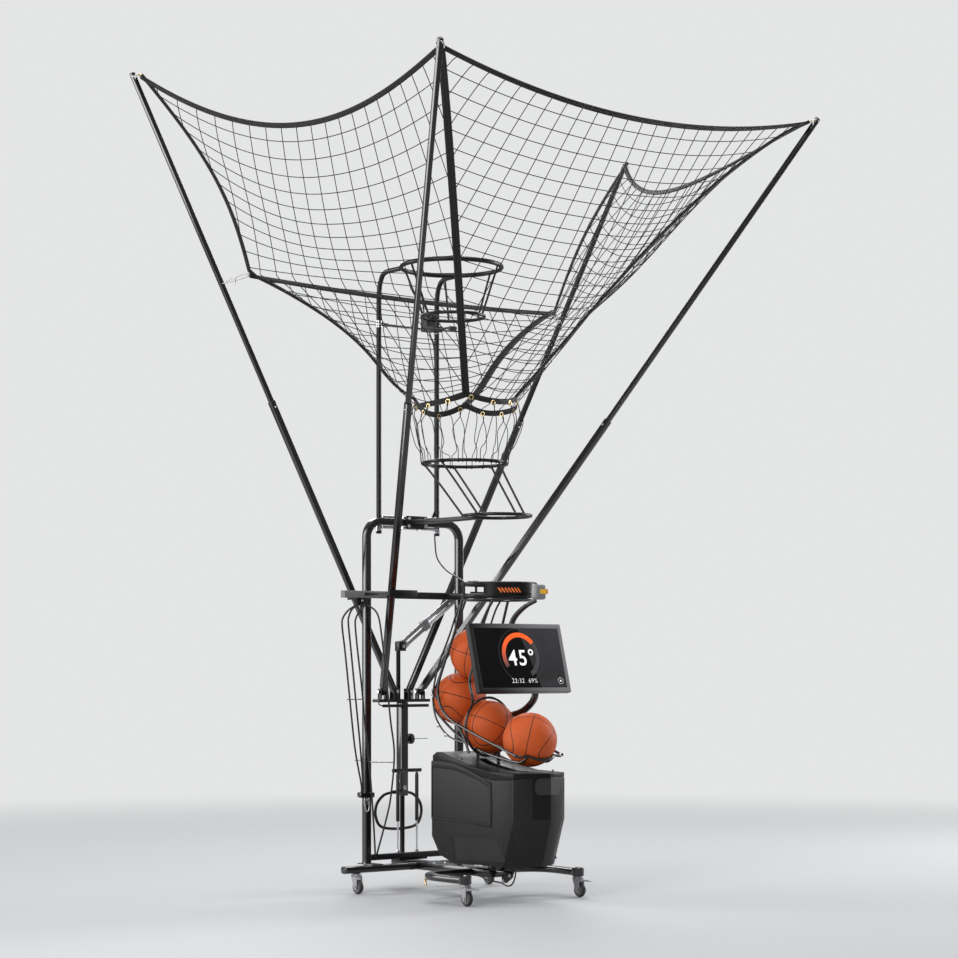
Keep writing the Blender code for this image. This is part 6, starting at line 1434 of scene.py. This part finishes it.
def on_facet(across, height, side, low=False, off=0.0):
    """Points on a front facet: across is how far the point lies from the nose to the cheek, 0 to 1."""
    turned = np.array([-side, 1, 1])
    along = (CHEEK - NOSE) * turned
    rise = (LOW_NOSE - NOSE) if low else np.array([0.0, 0.0, 1.0])
    out = unit(np.cross(along, rise))
    out = out * -np.sign(out[1])
    across, height = np.asarray(across, float)[..., None], np.asarray(height, float)[..., None]
    share = (height - NOSE[2]) / (LOW_NOSE[2] - NOSE[2]) if low else height - NOSE[2]
    return NOSE + along * across + rise * share + out * off


def facet_plate(outline, side, low=False, thickness=0.0007):
    """A flat outline of (across, height) laid on a front facet and given thickness."""
    outline = np.asarray(outline, float)
    rings = [on_facet(outline[:, 0], outline[:, 1], side, low, off) for off in (-0.001, thickness)]
    middles = [np.repeat(ring.mean(0)[None], len(outline), 0) for ring in rings]
    grid = np.stack([middles[0], rings[0], rings[1], middles[1]])
    grid = np.concatenate([grid, grid[:, :1]], 1)
    return laid(grid)


def slot_outline(low_across, high_across, height, tall=0.0075):
    """A slim slot whose ends are pointed on the outer side, as a cooling slot's lips are."""
    turn = TAU * np.arange(16) / 16
    middle, half = (low_across + high_across) / 2, (high_across - low_across) / 2
    return np.stack([middle + half * np.cos(turn),
                     height + tall / 2 * np.sin(turn) * (0.6 + 0.4 * np.cos(turn))], -1)


windows, grilles = [], []
for side in (-1, 1):
    if side < 0:
        windows.append(facet_plate([(0.0, 0.375), (1.0, 0.375), (1.0, 0.5655), (0.0, 0.5625)], side,
                                   thickness=0.0006))
    turn = np.linspace(np.pi / 2, -np.pi / 2, 14)
    half_oval = np.stack([0.52 + 0.36 * np.cos(turn) ** 0.6, 0.518 + 0.036 * np.sin(turn)], -1)
    oval = np.vstack([[(0.0, 0.554)], half_oval, [(0.0, 0.482)]])
    grilles.append(facet_plate(oval, side, thickness=0.0013))
    shadows.append(facet_plate(slot_outline(0.16, 0.72, 0.431), side))
    shadows.append(facet_plate(slot_outline(0.18, 0.74, 0.221), side, True))
make_piece("front_window_film", windows, COVER, "launcher")
make_piece("front_oval_grille", grilles, PLASTIC, "launcher")
make_piece("housing_slots_and_wedge", shadows, DARK_CAVITY, "launcher")

# Screen
TILT = math.radians(15)
FACE = np.array([0, -math.cos(TILT), math.sin(TILT)])
RISE = np.array([0, math.sin(TILT), math.cos(TILT)])
RIGHT = np.array([1.0, 0, 0])
SCREEN_AT = np.array([0, -0.056, 1.0835])
eased("screen_housing", SCREEN_FRAME, "screen", 0.003, 3)
eased("screen_glass", GLASS, "screen", 0.0006, 2)
eased("screen_button", GLASS, "button", 0.0008, 2)
GLASS_UP = -0.0035 + 0.0022 + 0.0003
DIAL = SCREEN_AT + RISE * 0.0105 + RIGHT * 0.003


def dial_arc(radius, width, start, end, count=80):
    """A flat arc on the display: uv runs from 0 at its start to 1 at its end."""
    angle = np.radians(np.linspace(start, end, count))[:, None]
    r = np.array([radius - width / 2, radius + width / 2])[None]
    across, rise = (r * np.cos(angle))[..., None], (r * np.sin(angle))[..., None]
    points = DIAL + RIGHT * across + RISE * rise + FACE * GLASS_UP
    uv = np.stack(np.broadcast_arrays(np.linspace(0, 1, count)[:, None], r * 0), -1)
    return surface(points, uv)


make_piece("dial_arc_lit", dial_arc(0.0955, 0.0215, 212, 37), ARC, "screen", outward=False)
make_piece("dial_track", [dial_arc(0.0955, 0.0215, 36, -62), dial_arc(0.1235, 0.0018, 0, 360, 120)],
           GREY_MARK, "screen", outward=False)
TOUCH_AT = np.array([0.2105, -0.1065])


def touch_ring(radius, width, lift, count=40):
    """A flat ring round the touch button's middle, lift off the display's plane."""
    angle = np.linspace(0, TAU, count)[:, None]
    r = np.array([radius - width / 2, radius + width / 2])[None]
    across = (TOUCH_AT[0] + r * np.cos(angle))[..., None]
    rise = (TOUCH_AT[1] + r * np.sin(angle))[..., None]
    points = SCREEN_AT + RIGHT * across + RISE * rise + FACE * lift
    return surface(points, np.stack(np.broadcast_arrays(angle, r * 0), -1))


make_piece("touch_ring", touch_ring(0.0200, 0.0016, GLASS_UP), GREY_MARK, "screen",
           outward=False)
make_piece("touch_dot", [touch_ring(0.0140, 0.0012, -0.0003), touch_ring(0.0022, 0.0044, -0.0003)],
           WHITE_MARK, "button", outward=False)


def digits(name, words, height, right, up, heavy, spread=1.0):
    """Figures on the display: a text's outline made a mesh and laid on the glass."""
    curve = bpy.data.curves.new(name, "FONT")
    curve.body, curve.align_x, curve.align_y, curve.size = words, "CENTER", "CENTER", height
    curve.offset, curve.space_character = heavy, spread
    written = bpy.data.objects.new(name + "_outline", curve)
    scene.collection.objects.link(written)
    bpy.context.view_layer.update()
    mesh = bpy.data.meshes.new_from_object(written.evaluated_get(bpy.context.evaluated_depsgraph_get()))
    bpy.data.objects.remove(written)
    flat = np.empty(len(mesh.vertices) * 3, np.float32)
    mesh.vertices.foreach_get("co", flat)
    flat = flat.reshape(-1, 3).astype(float)
    across, rise = flat[:, :1], flat[:, 1:2]
    placed = SCREEN_AT + RIGHT * (right + across) + RISE * (up + rise) + FACE * (GLASS_UP + 0.0001)
    mesh.vertices.foreach_set("co", (placed - [0, CENTRE_Y, 0]).astype(np.float32).ravel())
    mesh.update()
    return finish_piece(name, mesh, WHITE_MARK, "screen")


digits("dial_degrees", "45°", 0.101, 0.006, -0.0035, 0.0009, 1.11)
digits("screen_figures", "22:32  69%", 0.0290, 0.0015, -0.106, -0.0004, 1.14)

# Stage: floor, light and camera
WORLD_TONE = (0.78, 0.785, 0.79)
FLOOR_HALF = 60.0


def pale_floor():
    """A plain floor that turns into the backdrop's own tone far from the object, to the camera only."""
    mesh = bpy.data.meshes.new("studio_floor")
    corners = [(x * FLOOR_HALF, y * FLOOR_HALF, 0) for x, y in ((-1, -1), (1, -1), (1, 1), (-1, 1))]
    mesh.from_pydata(corners, [], [(0, 1, 2, 3)])
    floor = bpy.data.objects.new("studio_floor", mesh)
    scene.collection.objects.link(floor)
    floor.location.z = -0.0005
    material, dress, add, calc, *_ = principled("studio_floor_pale", roughness=0.65)
    dress({"Base Color": (0.49, 0.495, 0.50)})
    away = add("VectorMath", {0: add("TexCoord")["Object"]}, operation="LENGTH")["Value"]
    far = add("MapRange", {0: away, 1: 2.5, 2: 9.0}, interpolation_type="SMOOTHSTEP")[0]
    seen = calc("MULTIPLY", far, add("LightPath")["Is Camera Ray"])
    tree = material.node_tree
    lit, glow = tree.nodes["Principled BSDF"].outputs[0], add("Emission", {"Color": WORLD_TONE})[0]
    fill(tree, tree.nodes["Material Output"], {"Surface": add("MixShader", {0: seen, 1: lit, 2: glow})[0]})
    mesh.materials.append(material)


def studio_world():
    """Soft light from all round; the camera sees a plain backdrop in its place."""
    world = bpy.data.worlds.new("studio")
    scene.world = world
    world.use_nodes = True
    tree = world.node_tree
    add, *_ = makers(tree)
    light = tree.nodes["Background"]
    fill(tree, light, {"Color": (0.93, 0.95, 1.0), "Strength": 0.33})
    shown = add("Background", {"Color": WORLD_TONE, "Strength": 1.0})[0]
    sight = {0: add("LightPath")["Is Camera Ray"], 1: light.outputs[0], 2: shown}
    fill(tree, tree.nodes["World Output"], {"Surface": add("MixShader", sight)[0]})


def soft_lamp(name, place, aim, width, height, power):
    """A rectangle of light that faces a point."""
    lamp = bpy.data.lights.new(name, "AREA")
    lamp.shape, lamp.size, lamp.size_y, lamp.energy = "RECTANGLE", width, height, power
    holder = bpy.data.objects.new(name, lamp)
    holder.location = place
    holder.rotation_euler = (Vector(aim) - Vector(place)).to_track_quat("-Z", "Y").to_euler()
    scene.collection.objects.link(holder)


pale_floor()
studio_world()
soft_lamp("key_left", (-5.6, -2.2, 3.6), (0, 0, 1.5), 1.8, 4.2, 230)
soft_lamp("back_left", (-5.8, 6.0, 2.9), (-0.2, 0.2, 1.4), 3.4, 5.0, 310)
soft_lamp("side_right", (6.2, -0.6, 3.2), (0, 0, 1.4), 2.0, 4.2, 260)
soft_lamp("back_rim", (2.6, 4.8, 4.6), (0, 0, 1.6), 3.0, 2.0, 150)
soft_lamp("top_soft", (0, -0.5, 6.4), (0, 0, 0), 4.0, 4.0, 170)

camera = bpy.data.cameras.new("photo_view")
camera.lens, camera.sensor_width, camera.shift_y = 86.4, 36.0, 0.194
camera.clip_end = 200
holder = bpy.data.objects.new("photo_view", camera)
holder.location = (-6.513, -7.956 - CENTRE_Y, 1.052)
holder.rotation_euler = (math.radians(90), 0, math.radians(-38.46))
scene.collection.objects.link(holder)
scene.camera = holder
scene.view_settings.view_transform = "Standard"
